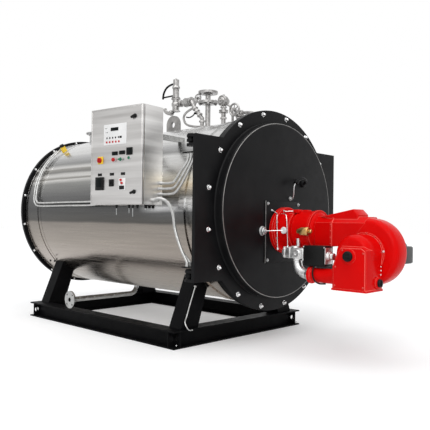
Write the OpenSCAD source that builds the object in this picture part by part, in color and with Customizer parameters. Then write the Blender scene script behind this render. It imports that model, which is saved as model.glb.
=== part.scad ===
// Packaged fire-tube steam boiler on a beam skid, with a hinged front door that
// carries a forced-draught gas burner, and a control cabinet on its left flank.
// Millimetres. +Z is up, the burner faces -Y, the cabinet is on the -X side.
// The origin lies on the ground under the middle of the front cross beam.

/* [Boiler barrel] */
// Height of the jacket's underside above the ground
underside = 320; // [260:5:400]
// Outer radius of the polished jacket
jacket_r = 770; // [740:5:790]
// Thickness of the jacket with its insulation
jacket_t = 70; // [50:5:90]
// Length of the barrel from the door's front face to the rear face
barrel_len = 2768; // [2500:4:3000]
// Wall of the pressure shell
shell_t = 16; // [10:1:20]
// How far the rear ring flange stands out past the jacket
rear_lap = 32; // [25:1:60]
// Thickness of the front and rear ring flanges
flange_t = 30; // [20:1:40]

/* [Furnace and tubes] */
// Depth of the furnace and burner axis below the barrel's axis
burner_drop = 160; // [140:5:190]
// Difference between the shell's inner radius and the furnace's
furnace_room = 384; // [364:5:424]
// Length of the furnace tube
furnace_len = 1900; // [1600:20:2000]
// Distance from the front ring to the tube plate
tube_plate_depth = 170; // [150:5:220]
// Outer radius of a smoke tube
tube_r = 30; // [24:1:32]

/* [Front door] */
// Distance of the door's front face ahead of the origin
door_front = 380; // [350:5:420]
// How far the door plate stands out past the jacket
door_lap = 60; // [45:5:70]
// Thickness of the door plate
door_t = 30; // [20:1:34]
// How far the door's ears stand out past the round plate
ear_out = 90; // [70:5:100]
// Half height of the door's ears
ear_rise = 542; // [500:2:560]
// Width of the flat rim round the raised dish
dish_margin = 110; // [90:5:150]
// Height of the raised dish
dish_rise = 86; // [60:2:100]

/* [Skid] */
// Outer width of the skid
base_w = 1650; // [1500:10:1700]
// Distance between the cross beams' middles
beam_span = 2046; // [1900:2:2100]
// Height and width of the wide-flange beams
beam = 140; // [120:10:160]
// Web thickness of the beams
beam_web = 8; // [6:1:10]
// Flange thickness of the beams
beam_flange = 12; // [10:1:14]

/* [Control cabinet] */
// Width of the cabinet
cab_w = 570; // [500:10:600]
// Height of the cabinet
cab_h = 760; // [700:10:800]
// Depth of the cabinet with its door
cab_d = 228; // [210:2:250]
// Turn of the cabinet toward the operator at the front
cab_turn = 6.8; // [0:0.2:10]

/* [Burner] */
// Width of the burner's mounting plate
burner_plate_w = 450; // [420:10:480]
// Height of the burner's mounting plate
burner_plate_h = 500; // [460:10:520]
// Radius of the burner's red flange
burner_flange_r = 187; // [170:1:200]
// Radius of the combustion head's tube inside the furnace
blast_r = 125; // [110:5:140]
// Smallest radius of the fan scroll, where its tongue is
scroll_r = 220; // [190:1:240]
// Growth of the scroll's radius from the tongue to the outlet
scroll_growth = 32; // [20:1:60]
// Width of the fan scroll
scroll_w = 180; // [150:2:240]

/* [Hidden] */

$fn = 96;
big_fn = 360;
big_r = 300;
full_turn = 360;
eps = 1;
steel_black = [0.07, 0.07, 0.075];
stainless = [0.78, 0.78, 0.77];
signal_red = [0.80, 0.09, 0.07];
cast_grey = [0.55, 0.55, 0.55];
brick = [0.80, 0.74, 0.62];
dark_plastic = [0.08, 0.08, 0.08];
panel_white = [0.92, 0.92, 0.92];
plate_orange = [0.80, 0.45, 0.10];
sensor_yellow = [0.90, 0.75, 0.10];

// Sizes that follow the jacket
axis_z = underside + jacket_r;
burner_z = axis_z - burner_drop;
rear_flange_r = jacket_r + rear_lap;
door_r = jacket_r + door_lap;
ear_half = door_r + ear_out;
dish_r = door_r - dish_margin;

// Lengthwise places along the barrel
door_y = -door_front;
door_back = door_y + door_t;
gasket = 4;
ring_y = door_back + gasket;
ring_r = door_r - gasket;
jacket_y = ring_y + flange_t;
rear_y = door_y + barrel_len;
jacket_end = rear_y - flange_t;
jacket_len = jacket_end - jacket_y;
crown_z = axis_z + jacket_r;
shell_r = jacket_r - jacket_t;
shell_in = shell_r - shell_t;
furnace_r = shell_in - furnace_room;

// Places given from the crown, from the left flank and from the burner's seat on the dish
dish_y = door_y - dish_rise;
function crown(y, z) = [0, y, crown_z + z];
function flank(x, y, z) = [-jacket_r - x, y, axis_z + z];
function round_flank(turn, y, lift) = [0, y, axis_z] + (jacket_r + lift) * [-sin(turn), 0, cos(turn)];
function ahead(x, y, z) = [x, dish_y - y, burner_z + z];

// Cover bands round the jacket: start, width and height
front_band = [-110, 60, 10];
rear_band = [rear_y - 295, 30, 4];

// Rear cover of the smoke box, with two stiffening bars: width, depth and height
cover_t = 14;
cover_lap = 40;
cover_margin = 10;
cover_bar = [60, 40, 900];

// Furnace, and the smoke tubes: radius about the barrel's axis, count and spread of each arc
tube_plate_y = jacket_y + tube_plate_depth;
tube_plate_t = 20;
furnace_t = 14;
tube_wall = 4;
tube_out = 6;
tube_arcs = [[shell_in - 94, 28, full_turn], [shell_in - 204, 11, 200], [shell_in - 314, 7, 120]];
function arc_step(a) = a[2] == full_turn ? full_turn / a[1] : a[2] / (a[1] - 1);
function arc_start(a) = a[2] == full_turn ? arc_step(a) / 2 : -a[2] / 2;
tube_places = [for (a = tube_arcs) for (i = [0 : a[1] - 1])
    let (t = arc_start(a) + i * arc_step(a)) [a[0] * sin(t), a[0] * cos(t)]];

// Skid places
rail_x = (base_w - beam) / 2;
rail_y0 = -beam / 2;
rail_len = beam_span + beam;
flange_x = rail_x - beam / 2;
web_h = beam - 2 * beam_flange;
eye_r = 22;
eye_in = 34;

// Legs lean inward from the skid up to the jacket: outer and inner edge at foot and top
leg_d = 140;
leg_y0 = -35;
leg_foot = [flange_x + 35, flange_x - 155];
leg_top = [flange_x - 165, flange_x - 315];
leg_top_z = axis_z - 450;

// Hinge of the front door
lug_r = 32;
lug_t = 20;
lug_pitch = 33;
hinge_x = lug_r - ear_half;
hinge_y = door_back + 55;
pin_r = 18;
pin_gap = 0.08;
pin_half = lug_pitch + lug_t / 2;
lug_rise = ear_rise - pin_half - eps;
washer_r = 26;
washer_gap = 0.5;
head_h = 7;
lug_z = [axis_z + lug_rise, axis_z - lug_rise];
bracket_in = jacket_r - 210;

// Plates behind the door that hold the conduits' glands: left edge, front edge, depth, thickness
gland_plate = [hinge_x - 20, hinge_y - 43, 108, 8];
gland_plate_z = [axis_z + lug_rise - 90, axis_z - lug_rise + 58];
gland_x = hinge_x + 8;
gland_y = [for (k = [0 : 2]) hinge_y + 31 - 30 * k];
gland_r = 14;
gland_h = 34;
riser_place = [hinge_x + 40, hinge_y];

// Cabinet, in a frame at the lower front corner of its face
cab_x = -jacket_r - 318;
cab_y = 21;
cab_far = cab_y + cab_w;
cab_z = axis_z + 24;
cab_door_t = 24;
cab_gap = 3;
cab_wall = 3;
cab_box_x = cab_door_t + cab_gap;
cab_box_d = cab_d - cab_box_x;
knuckle_r = 7;
knuckle_h = 30;
knuckle_gap = 1;
knuckle_web = 6;
cab_pin_r = 3;
cab_pin_gap = 0.08;
cab_pin_x = cab_door_t + cab_gap / 2;
cab_pin_y = cab_w + knuckle_r + eps;
cab_hinge_z = [90, cab_h - 90];
panel_t = 3;
panel_margin = 30;
panel_off = 20;
spacer_r = 6;
arm = 40;
arm_y = [110, 430];
arm_z = [90, 540];
side_gland_h = 24;
upper_gland_x = 200;
upper_gland_z = [for (k = [0 : 2]) 171 - 42 * k];
lower_gland_x = [114, 164];
lower_gland_z = 38;
rear_gland_x = 168;
rear_gland_z = [38, 70];

// Pieces on the cabinet's face: place along the width, height, width, height, thickness
display = [292, 549, 252, 162, 4];
face_plates = [[292, 399, 58, 26, 8], [212, 402, 58, 26, 8], [132, 408, 62, 56, 10],
    [454, 352, 74, 74, 6], [460, 238, 54, 12, 3], [322, 237, 54, 12, 3], [200, 238, 54, 12, 3],
    [460, 167, 86, 104, 14], [326, 170, 46, 62, 12], [207, 176, 76, 56, 8]];
face_knobs = [[300, 350, 16, 14], [225, 350, 16, 14], [135, 356, 16, 12],
    [78, 97, 16, 9], [78, 673, 16, 9]];

// Burner, measured forward from the raised dish
plate_t = 16;
plate_y = dish_y - plate_t;
plate_drop = 13;
bflange_t = 28;
bflange_y = plate_y - bflange_t;
neck_r = 143;
neck_len = 140;
collar_r = 156;
collar_len = 206;
collar_round = 50;
collar_step = 26;
collar_y = bflange_y - neck_len - collar_len;
lining_t = 120;
lining_gap = 24;
blast_len = 420;
blast_wall = 6;
dish_edge = 16;
fan_x = -105;
fan_at = ahead(fan_x, 824, -150);
rim_inset = [0, 12, 34];
rim_step = [40, 12, 0];
outlet_angle = 90;
duct_half = 104;
duct_z = [burner_z - 107, burner_z + 112];
duct_chamfer = 45;
hood_half = 78;
hood = [for (p = [[428, 112], [704, 168], [745, 128], [745, 60]]) ahead(0, p[0], p[1])];
box_w = 225;
box_near = ahead(fan_x - box_w, 957, -405);
box_far = ahead(fan_x, 691, -96);
box_shoulder = [[0, 144], [34, 52], [66, 0]];
box_brow = [34, 22];
drum_r = 138;
drum_len = 140;
drum_nose = [60, 96];
motor_r = 110;
motor_neck = 42;
motor_gap = 6;
motor_len = 260;
motor_cap = 24;
terminal_box = [120, 100, 128];
terminal_x = 75;
terminal_drop = 16;
air_knob = [36, 34];
trim_knob = [28, 30];
trim_place = [-177, -345];

// Gas train under the burner's near side
gas_x = -165;
gas_r = 55;
gas_lip = [64, 24];
gas_end = ahead(gas_x, 386, -328);
gas_bend = 107;
elbow_r = 37;
valve_half = 45;
valve_near = ahead(gas_x, 362, -213);
valve_far = ahead(gas_x, 168, -129);
stub_x = -138;
stub_r = 16;
actuator_near = ahead(gas_x, 554, -261);
actuator_far = ahead(gas_x, 362, -107);
connector = [34, 52];

// Drain
drain_y = 1420;
drain_z = beam + 92;
drain_r = 24;
drain_bore = 20;
drain_bend = 80;
drain_end = -805;

// Round flanges: outer radius, thickness, pitch circle, count and radius of the holes
drain_flange = [82, 18, 125, 4, 9];
steam_flange = [91, 22, 145, 4, 9];
flue_flange = [165, 12, 300, 8, 6];

// Steam outlet
nozzle_y = 405;
nozzle_r = 24;
nozzle_bore = 20;
nozzle_low = crown_z + 226;
nozzle_top = crown_z + 340;

// Safety valve on an inlet pipe that leans back from the crown
inlet_r = 19;
inlet_path = [crown(479, -20), crown(479, 96), crown(590, 220), crown(628, 275), crown(848, 275)];
union_at = [crown(640, 275), crown(710, 275)];
union_r = 42;
relief_y = 848;
relief_low = crown_z + 203;
relief_body = [34, 130];
relief_bonnet = [32, 20, 110];
relief_cap = [30, 76];
outlet_route = [crown(862, 222), crown(912, 200), crown(962, 204), crown(998, 226), crown(1008, 252)];
lever_route = [crown(862, 482), crown(920, 481), crown(985, 460), crown(1028, 412), crown(1041, 352)];
lever_bar = [crown(852, 368), crown(1036, 368)];
lever_r = 7;
bar_r = 5;
siphon_route = [crown(590, 215), crown(690, 182), crown(733, 134), crown(704, 74), crown(640, 44),
    crown(540, 26), crown(470, 22)];
gauge_wheel = [crown(540, 296), crown(585, 232)];
gauge_wheel_r = 44;

// Vent valve and feed valve
vent_y = 206;
vent_r = 21;
vent_flange = [40, 16, 120];
vent_ball = [48, 226];
vent_route = [crown(196, 196), crown(150, 184), crown(110, 146), crown(96, 80), crown(94, -20)];
feed_y = 20;
feed_r = 20;
feed_body = [36, 90];
feed_route = [crown(0, 90), crown(-70, 88), crown(-138, 76), crown(-176, 42), crown(-186, -20)];
feed_spindle = [[0, feed_y, crown_z + 90], [-62, feed_y, crown_z + 116]];
feed_wheel_r = 60;
spindle_r = 10;

// Lifting lug
lug_y = 876;
lug_w = 180;
lug_thick = 26;
lug_top = crown_z + 167;
eye_hole = 30;

// Flue spigot
flue_y = rear_y - 293;
flue_r = 125;
flue_t = 6;
flue_top = crown_z + 106;

// Sensor on the rear of the jacket: turn from the crown, place, radius, height, tip radius and height
sensor_turn = -35;
sensor_y = rear_y - 266;
sensor_stub = [28, 60];
sensor_tip = [20, 26];

// Routes of conduits, points chosen by hand
conduit_r = 11;
hose_r = 14;
earth_r = 5;
upper_routes = [for (k = [0 : 2])
    [flank(119, 38, 195 - 42 * k), flank(116, -30, 192 - 42 * k),
     flank(114, -110 - 10 * k, 202 - 40 * k), flank(112, -185 - 18 * k, 280 - 32 * k),
     [gland_x, gland_y[k] + 16, gland_plate_z[0] - 62], [gland_x, gland_y[k], gland_plate_z[0] - 18]]];
lower_routes = [
    [flank(205, 26, 62), flank(180, -30, 75), flank(135, -80, 40), flank(110, -105, -40),
     flank(102, -122, -165), flank(102, -185, -300), flank(110, -262, -400), flank(110, -266, -420)],
    [flank(155, 31, 62), flank(135, -6, 68), flank(95, -40, 25), flank(75, -62, -50),
     flank(68, -80, -165), flank(66, -150, -310), flank(70, -248, -400), flank(70, -252, -420)]];
rear_routes = [for (k = [0 : 1])
    [round_flank(37.4 - 2.7 * k, rear_y - 180 - 34 * k, 36 + 2 * k),
     round_flank(53.7, rear_y - 188 - 36 * k, 24),
     round_flank(68.5, rear_y - 208 - 38 * k, 23), round_flank(80.6, rear_y - 248 - 38 * k, 29),
     flank(32, rear_y - 298 - 30 * k, 60 + 26 * k), flank(36, rear_y - 408, 35 + 32 * k),
     flank(45, rear_y - 888, 35 + 32 * k), flank(80, cab_far + 409, 35 + 32 * k),
     flank(190, cab_far + 89, 50 + 32 * k), flank(217, cab_far + 29, 62 + 32 * k)]];
rear_clip_y = [rear_y - 188, rear_y - 224];
rear_clip = [54, 10, 20];
earth_route = [[leg_foot[0] - 145, leg_y0 - 8, beam + 330], [leg_foot[0] - 95, leg_y0 - 8, beam + 210],
    [leg_foot[0] - 52, leg_y0 - 9, beam + 100], [leg_foot[0] - 18, -62, beam + 60],
    [leg_foot[0] - 16, -86, beam + 22], [leg_foot[0] - 40, -88, beam - 2],
    [leg_foot[0] - 80, -79, beam - 6]];
earth_boss = [9, 14];
sight_route = [ahead(285, 8, 395), ahead(276, 40, 406), ahead(236, 64, 425), ahead(170, 70, 432),
    ahead(110, 64, 405), ahead(86, 58, 360), ahead(98, 44, 292), ahead(110, 24, 266), ahead(112, 6, 262)];
sight_boss = [30, 18];
sight_boss_h = 20;
sight_r = 13;

module along_y(y0, len, r, r2) {
    translate([0, y0, 0])
        rotate([-90, 0, 0])
            cylinder(h = len, r1 = r, r2 = is_undef(r2) ? r : r2, $fn = r > big_r ? big_fn : $fn);
}

module along_x(at, len, r) {
    translate(at)
        rotate([0, 90, 0])
            cylinder(h = len, r = r);
}

module tube_y(y0, len, r_out, r_in) {
    difference() {
        along_y(y0, len, r_out);
        along_y(y0 - eps, len + 2 * eps, r_in);
    }
}

module on_axis() {
    translate([0, 0, axis_z])
        children();
}

module on_burner() {
    translate([0, 0, burner_z])
        children();
}

// Block between two opposite corners
module block(a, b) {
    translate(a)
        cube(b - a);
}

// Cuts a piece back to the jacket's surface, and clear of the rear ring and its cover
module on_jacket() {
    difference() {
        union()
            children();
        on_axis() {
            along_y(jacket_y, jacket_len, jacket_r);
            along_y(jacket_end, flange_t + cover_t + cover_bar[1] + gasket, rear_flange_r);
        }
    }
}

// Round bar between two points
module rod(a, b, r) {
    d = b - a;
    translate(a)
        rotate([0, acos(d[2] / norm(d)), atan2(d[1], d[0])])
            cylinder(h = norm(d), r = r);
}

// Pipe of straight lengths with round joints
module piping(path, r) {
    joint_lean = -45;
    for (i = [0 : len(path) - 2])
        rod(path[i], path[i + 1], r);
    for (i = [1 : len(path) - 2])
        translate(path[i])
            rotate([joint_lean, 0, 0])
                sphere(r = r + eps);
}

// Flange with bolt holes, standing on the XY plane
module flange(f, bore) {
    difference() {
        cylinder(h = f[1], r = f[0]);
        translate([0, 0, -eps])
            cylinder(h = f[1] + 2 * eps, r = bore);
        for (i = [1 : f[3]])
            rotate([0, 0, (i - 1 / 2) * full_turn / f[3]])
                translate([f[2] / 2, 0, -eps])
                    cylinder(h = f[1] + 2 * eps, r = f[4]);
    }
}

// Spoked wheel in the XY plane
module handwheel(r) {
    rim = r / 7;
    spokes = 3;
    rotate_extrude()
        translate([r - rim, 0])
            circle(r = rim, $fn = 24);
    for (i = [1 : spokes])
        rotate([0, 90, i * full_turn / (2 * spokes)])
            translate([0, 0, rim - r])
                cylinder(h = 2 * (r - rim), r = rim / 2, $fn = 24);
    cylinder(h = 3 * rim, r = 2 * rim, center = true);
}

// Swept round tube through a smoothed route
function unit(v) = v / norm(v);
function spline(a, b, c, d, t) =
    (2 * b + (c - a) * t + (2 * a - 5 * b + 4 * c - d) * t * t
        + (3 * b - a - 3 * c + d) * t * t * t) / 2;
function smooth(p, steps) = [for (i = [0 : len(p) - 2]) for (k = [0 : steps - 1])
    spline(p[max(i - 1, 0)], p[i], p[i + 1], p[min(i + 2, len(p) - 1)], k / steps), p[len(p) - 1]];
function heading(p, i) = unit(p[min(i + 1, len(p) - 1)] - p[max(i - 1, 0)]);

module sweep(route, r, ref, steps = 3, sides = 8) {
    p = smooth(route, steps);
    n = len(p);
    rings = [for (i = [0 : n - 1])
        let (t = heading(p, i), u = unit(cross(t, ref)), v = cross(t, u))
            for (k = [0 : sides - 1])
                p[i] + r * (u * cos(full_turn * k / sides) + v * sin(full_turn * k / sides))];
    walls = [for (i = [0 : n - 2]) for (k = [0 : sides - 1])
        let (a = i * sides + k, b = i * sides + (k + 1) % sides)
            [a, a + sides, b + sides, b]];
    caps = [[for (k = [0 : sides - 1]) k], [for (k = [sides - 1 : -1 : 0]) (n - 1) * sides + k]];
    polyhedron(points = rings, faces = concat(walls, caps), convexity = 6);
}

// Skid of wide-flange beams
module beam_profile() {
    difference() {
        square([beam, beam], center = true);
        for (s = [-1, 1])
            translate([s * (beam + beam_web) / 4, 0])
                square([(beam - beam_web) / 2, web_h], center = true);
    }
}

module base_rail(side) {
    color(steel_black)
        difference() {
            union() {
                translate([side * rail_x, rail_y0, beam / 2])
                    rotate([-90, 0, 0])
                        linear_extrude(rail_len)
                            beam_profile();
                for (y = [0, beam_span])
                    translate([side * (rail_x + beam / 4), y, beam / 2])
                        cube([beam / 2, beam_web, web_h + eps], center = true);
            }
            for (y = [rail_y0 + eye_in, rail_y0 + rail_len - eye_in])
                along_x([side * rail_x - beam / 2, y, beam / 2], beam, eye_r);
            for (y = [0, beam_span])
                translate([side * (rail_x + (beam + beam_web) / 4), 0, beam / 2])
                    along_y(y - beam / 2, beam, eye_r);
        }
}

module base_cross(y) {
    reach = rail_x - beam_web / 2;
    color(steel_black)
        translate([0, y, beam / 2]) {
            translate([-flange_x, 0, 0])
                rotate([90, 0, 90])
                    linear_extrude(2 * flange_x)
                        beam_profile();
            cube([2 * reach, beam_web, web_h], center = true);
        }
}

module leg(side, y0) {
    color(steel_black)
        on_jacket()
            translate([0, y0 + leg_d, 0])
                rotate([90, 0, 0])
                    linear_extrude(leg_d)
                        polygon([[side * leg_foot[0], beam], [side * leg_foot[1], beam],
                            [side * leg_top[1], leg_top_z], [side * leg_top[0], leg_top_z]]);
}

// Barrel
module front_flange() {
    color(steel_black)
        on_axis()
            tube_y(ring_y, flange_t, ring_r, shell_in);
}

module flue_hole() {
    translate([0, flue_y, 0])
        cylinder(h = 2 * jacket_r, r = flue_r);
}

module boiler_shell() {
    color(steel_black)
        on_axis()
            difference() {
                tube_y(jacket_y, jacket_len, shell_r, shell_in);
                flue_hole();
            }
}

module jacket() {
    color(stainless)
        on_axis()
            difference() {
                union() {
                    along_y(jacket_y, jacket_len, jacket_r);
                    for (b = [front_band, rear_band])
                        along_y(b[0], b[1], jacket_r + b[2]);
                }
                along_y(jacket_y - eps, jacket_len + 2 * eps, shell_r);
                flue_hole();
            }
}

module rear_flange() {
    color(steel_black)
        on_axis()
            tube_y(jacket_end, flange_t, rear_flange_r, shell_in - cover_lap);
}

module rear_cover() {
    color(steel_black)
        on_axis() {
            along_y(rear_y, cover_t, shell_in - cover_margin);
            along_y(jacket_end, flange_t, shell_in - cover_lap);
            for (s = [-1, 1])
                translate([(s * shell_in - cover_bar[0]) / 2, rear_y + cover_t, -cover_bar[2] / 2])
                    cube(cover_bar);
        }
}

module tube_plate() {
    color(steel_black)
        difference() {
            on_axis()
                along_y(tube_plate_y, tube_plate_t, shell_in);
            on_burner()
                along_y(tube_plate_y - eps, tube_plate_t + 2 * eps, furnace_r + furnace_t);
            on_axis()
                for (p = tube_places)
                    translate([p[0], 0, p[1]])
                        along_y(tube_plate_y - eps, tube_plate_t + 2 * eps, tube_r);
        }
}

module furnace_tube() {
    color(cast_grey)
        on_burner() {
            tube_y(tube_plate_y, furnace_len, furnace_r + furnace_t, furnace_r);
            along_y(tube_plate_y + furnace_len, furnace_t, furnace_r + furnace_t);
        }
}

module smoke_tubes() {
    color(cast_grey)
        on_axis()
            for (p = tube_places)
                translate([p[0], 0, p[1]])
                    tube_y(tube_plate_y - tube_out, furnace_len, tube_r, tube_r - tube_wall);
}

module flue_outlet() {
    foot = axis_z + shell_in;
    color(steel_black)
        translate([0, flue_y, 0]) {
            difference() {
                translate([0, 0, foot])
                    cylinder(h = flue_top - foot, r = flue_r);
                translate([0, 0, axis_z])
                    cylinder(h = crown_z, r = flue_r - flue_t);
            }
            translate([0, 0, flue_top - flue_flange[1]])
                flange(flue_flange, flue_r - flue_t);
        }
}

// Fittings along the crown
module lifting_lug() {
    arch_z = lug_top - lug_w / 2;
    color(steel_black)
        on_jacket()
            difference() {
                union() {
                    block([-lug_thick / 2, lug_y - lug_w / 2, axis_z],
                        [lug_thick / 2, lug_y + lug_w / 2, arch_z]);
                    along_x([-lug_thick / 2, lug_y, arch_z], lug_thick, lug_w / 2);
                }
                along_x([-lug_thick, lug_y, arch_z], 2 * lug_thick, eye_hole);
            }
}

module riser(y, r, top) {
    translate([0, y, axis_z])
        cylinder(h = top - axis_z, r = r);
}

module steam_nozzle() {
    color(cast_grey)
        difference() {
            on_jacket() {
                riser(nozzle_y, nozzle_r, nozzle_top);
                translate([0, nozzle_y, nozzle_low])
                    cylinder(h = steam_flange[1], r = steam_flange[0]);
                translate([0, nozzle_y, nozzle_top - steam_flange[1]])
                    flange(steam_flange, nozzle_bore);
            }
            translate([0, nozzle_y, crown_z])
                cylinder(h = nozzle_top, r = nozzle_bore);
        }
}

module safety_valve() {
    bonnet_z = relief_low + relief_body[1];
    cap_z = bonnet_z + relief_bonnet[2];
    color(cast_grey)
        on_jacket() {
            piping(inlet_path, inlet_r);
            rod(union_at[0], union_at[1], union_r);
            translate([0, relief_y, relief_low])
                cylinder(h = relief_body[1], r = relief_body[0]);
            translate([0, relief_y, bonnet_z])
                cylinder(h = relief_bonnet[2], r1 = relief_bonnet[0], r2 = relief_bonnet[1]);
            translate([0, relief_y, cap_z])
                cylinder(h = relief_cap[1], r = relief_cap[0]);
            sweep(outlet_route, inlet_r, [1, 0, 0]);
            sweep(lever_route, lever_r, [1, 0, 0]);
            rod(lever_bar[0], lever_bar[1], bar_r);
            sweep(siphon_route, conduit_r, [1, 0, 0]);
            translate(gauge_wheel[0])
                rotate([0, 90, 0])
                    handwheel(gauge_wheel_r);
            rod(gauge_wheel[0], gauge_wheel[1], spindle_r);
        }
}

module vent_valve() {
    color(cast_grey)
        on_jacket() {
            riser(vent_y, vent_r, crown_z + vent_ball[1]);
            riser(vent_y, spindle_r, crown_z + vent_ball[1] + vent_ball[0] + spindle_r);
            translate([0, vent_y, crown_z + vent_flange[2]])
                cylinder(h = vent_flange[1], r = vent_flange[0]);
            translate([0, vent_y, crown_z + vent_ball[1]])
                sphere(r = vent_ball[0]);
            sweep(vent_route, conduit_r, [1, 0, 0]);
        }
}

module feed_valve() {
    color(cast_grey)
        on_jacket() {
            riser(feed_y, feed_r, crown_z + feed_body[1]);
            riser(feed_y, spindle_r, crown_z + feed_body[1] + feed_body[0] + spindle_r);
            translate([0, feed_y, crown_z + feed_body[1]])
                sphere(r = feed_body[0]);
            rod(feed_spindle[0], feed_spindle[1], spindle_r);
            translate(feed_spindle[1])
                rotate([0, 90, 0])
                    handwheel(feed_wheel_r);
            sweep(feed_route, hose_r, [1, 0, 0]);
        }
}

module drain_pipe() {
    run = -drain_end - drain_bend;
    rise = drain_z + drain_bend;
    color(stainless)
        on_jacket()
            translate([0, drain_y, 0])
                difference() {
                    union() {
                        along_x([drain_end, 0, drain_z], run, drain_r);
                        translate([drain_end, 0, drain_z])
                            rotate([0, 90, 0])
                                flange(drain_flange, drain_bore);
                        translate([-drain_bend, 0, rise])
                            rotate([90, 0, 0])
                                rotate([0, 0, -90])
                                    rotate_extrude(angle = 90)
                                        translate([drain_bend, 0])
                                            circle(r = drain_r);
                        translate([0, 0, rise])
                            cylinder(h = axis_z - rise, r = drain_r);
                    }
                    along_x([drain_end - eps, 0, drain_z], run, drain_bore);
                }
}

// Stub standing on the jacket at a turn from the crown
module on_flank(turn, y, r, h) {
    on_axis()
        rotate([0, turn, 0])
            difference() {
                translate([0, y, 0])
                    cylinder(h = jacket_r + h, r = r);
                along_y(jacket_y, jacket_len, jacket_r);
                along_y(rear_band[0], rear_band[1], jacket_r + rear_band[2]);
            }
}

module rear_sensor() {
    color(sensor_yellow)
        on_flank(sensor_turn, sensor_y, sensor_stub[0], sensor_stub[1]);
    color(dark_plastic)
        on_axis()
            rotate([0, sensor_turn, 0])
                translate([0, sensor_y, jacket_r + sensor_stub[1]])
                    cylinder(h = sensor_tip[1], r = sensor_tip[0]);
}

module rear_conduits() {
    color(cast_grey) {
        for (route = rear_routes)
            sweep(route, conduit_r, [1, 0.15, 0.1]);
        for (y = rear_clip_y)
            on_flank(-rear_clip[0], y, rear_clip[1], rear_clip[2]);
        for (z = rear_gland_z)
            at_cabinet()
                translate([rear_gland_x, 0, z])
                    along_y(cab_w, side_gland_h, gland_r);
    }
}

// Cuts a bracket back to the front ring and the jacket behind it
module clear_of_ring() {
    on_jacket()
        difference() {
            children();
            on_axis()
                along_y(ring_y - eps, flange_t + eps, ring_r);
        }
}

// Hinge side of the front door: fixed lugs with pins, between the door's own lugs
module hinge_bracket() {
    color(steel_black)
        for (z = lug_z) {
            clear_of_ring()
                translate([hinge_x, hinge_y, z - lug_t / 2]) {
                    cylinder(h = lug_t, r = lug_r);
                    translate([0, -lug_r, 0])
                        cube([-bracket_in - hinge_x, 2 * lug_r, lug_t]);
                }
            translate([hinge_x, hinge_y, z]) {
                cylinder(h = lug_pitch - lug_t / 2 - washer_gap, r = washer_r);
                translate([0, 0, -pin_half])
                    cylinder(h = 2 * pin_half + washer_gap, r = pin_r);
                translate([0, 0, pin_half + washer_gap])
                    cylinder(h = head_h, r = washer_r);
            }
        }
}

module latch_bracket() {
    color(steel_black)
        for (z = lug_z)
            clear_of_ring()
                translate([bracket_in, hinge_y - lug_r, z - lug_t / 2])
                    cube([-bracket_in - hinge_x, 2 * lug_r, lug_t]);
}

module gland_plates() {
    color(steel_black)
        for (z = gland_plate_z)
            clear_of_ring()
                translate([gland_plate[0], gland_plate[1], z])
                    cube([-bracket_in - gland_plate[0], gland_plate[2], gland_plate[3]]);
}

module door_plate() {
    color(steel_black)
        difference() {
            union() {
                on_axis() {
                    along_y(door_y, door_t, door_r);
                    block([-ear_half, door_y, -ear_rise], [ear_half, door_back, ear_rise]);
                }
                for (z = lug_z) for (s = [-1, 1])
                    translate([hinge_x, 0, z + s * lug_pitch - lug_t / 2]) {
                        translate([0, hinge_y, 0])
                            cylinder(h = lug_t, r = lug_r);
                        block([-lug_r, door_back - eps, 0], [lug_r, hinge_y, lug_t]);
                    }
            }
            for (z = lug_z)
                translate([hinge_x, hinge_y, z - 2 * pin_half])
                    cylinder(h = 4 * pin_half, r = pin_r + pin_gap);
            on_burner()
                along_y(door_y - eps, door_t + 2 * eps, blast_r);
        }
}

module door_dish() {
    color(steel_black)
        difference() {
            on_axis() {
                along_y(dish_y + dish_edge, dish_rise - dish_edge, dish_r);
                along_y(dish_y, dish_edge, dish_r - dish_edge, dish_r);
            }
            on_burner()
                along_y(dish_y - eps, dish_rise + 2 * eps, blast_r);
        }
}

module door_lining() {
    color(brick)
        difference() {
            on_axis()
                along_y(door_back, lining_t, shell_in - lining_gap);
            on_burner()
                along_y(door_back - eps, lining_t + 2 * eps, blast_r);
        }
}

module sight_port() {
    ends = [sight_route[0], sight_route[len(sight_route) - 1]];
    color(cast_grey) {
        sweep(sight_route, sight_r, [0.3, 1, 0.2]);
        for (i = [0, 1])
            translate([ends[i][0], 0, ends[i][2]])
                along_y(dish_y - sight_boss_h, sight_boss_h, sight_boss[i]);
    }
}

// Burner
module burner_plate() {
    mid_z = burner_z - plate_drop;
    color(steel_black)
        difference() {
            block([-burner_plate_w / 2, plate_y, mid_z - burner_plate_h / 2],
                [burner_plate_w / 2, dish_y, mid_z + burner_plate_h / 2]);
            on_burner()
                along_y(plate_y - eps, plate_t + 2 * eps, blast_r);
        }
}

module burner_flange() {
    color(signal_red)
        on_burner()
            tube_y(bflange_y, bflange_t, burner_flange_r, blast_r);
}

module burner_head() {
    bead = collar_r - collar_round;
    bend_step = 15;
    color(signal_red)
        on_burner()
            translate([0, collar_y, 0])
                rotate([-90, 0, 0])
                    rotate_extrude()
                        polygon(concat([[0, collar_len + neck_len], [0, 0]],
                            [for (a = [-90 : bend_step : 0])
                                [bead + collar_round * cos(a), collar_round * (1 + sin(a))]],
                            [[collar_r, collar_len - collar_step], [neck_r, collar_len],
                             [neck_r, collar_len + neck_len]]));
}

module blast_tube() {
    color(cast_grey)
        on_burner()
            tube_y(bflange_y, blast_len, blast_r, blast_r - blast_wall);
}

// Scroll radius falls from the outlet on top, round the front and bottom, to the tongue behind
function scroll(t) = scroll_r + scroll_growth * (full_turn - t) / (full_turn - outlet_angle);
module scroll_outline(inset) {
    angle_step = 6;
    polygon([for (t = [outlet_angle : angle_step : full_turn])
        (scroll(t) - inset) * [cos(t), sin(t)]]);
}

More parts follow.
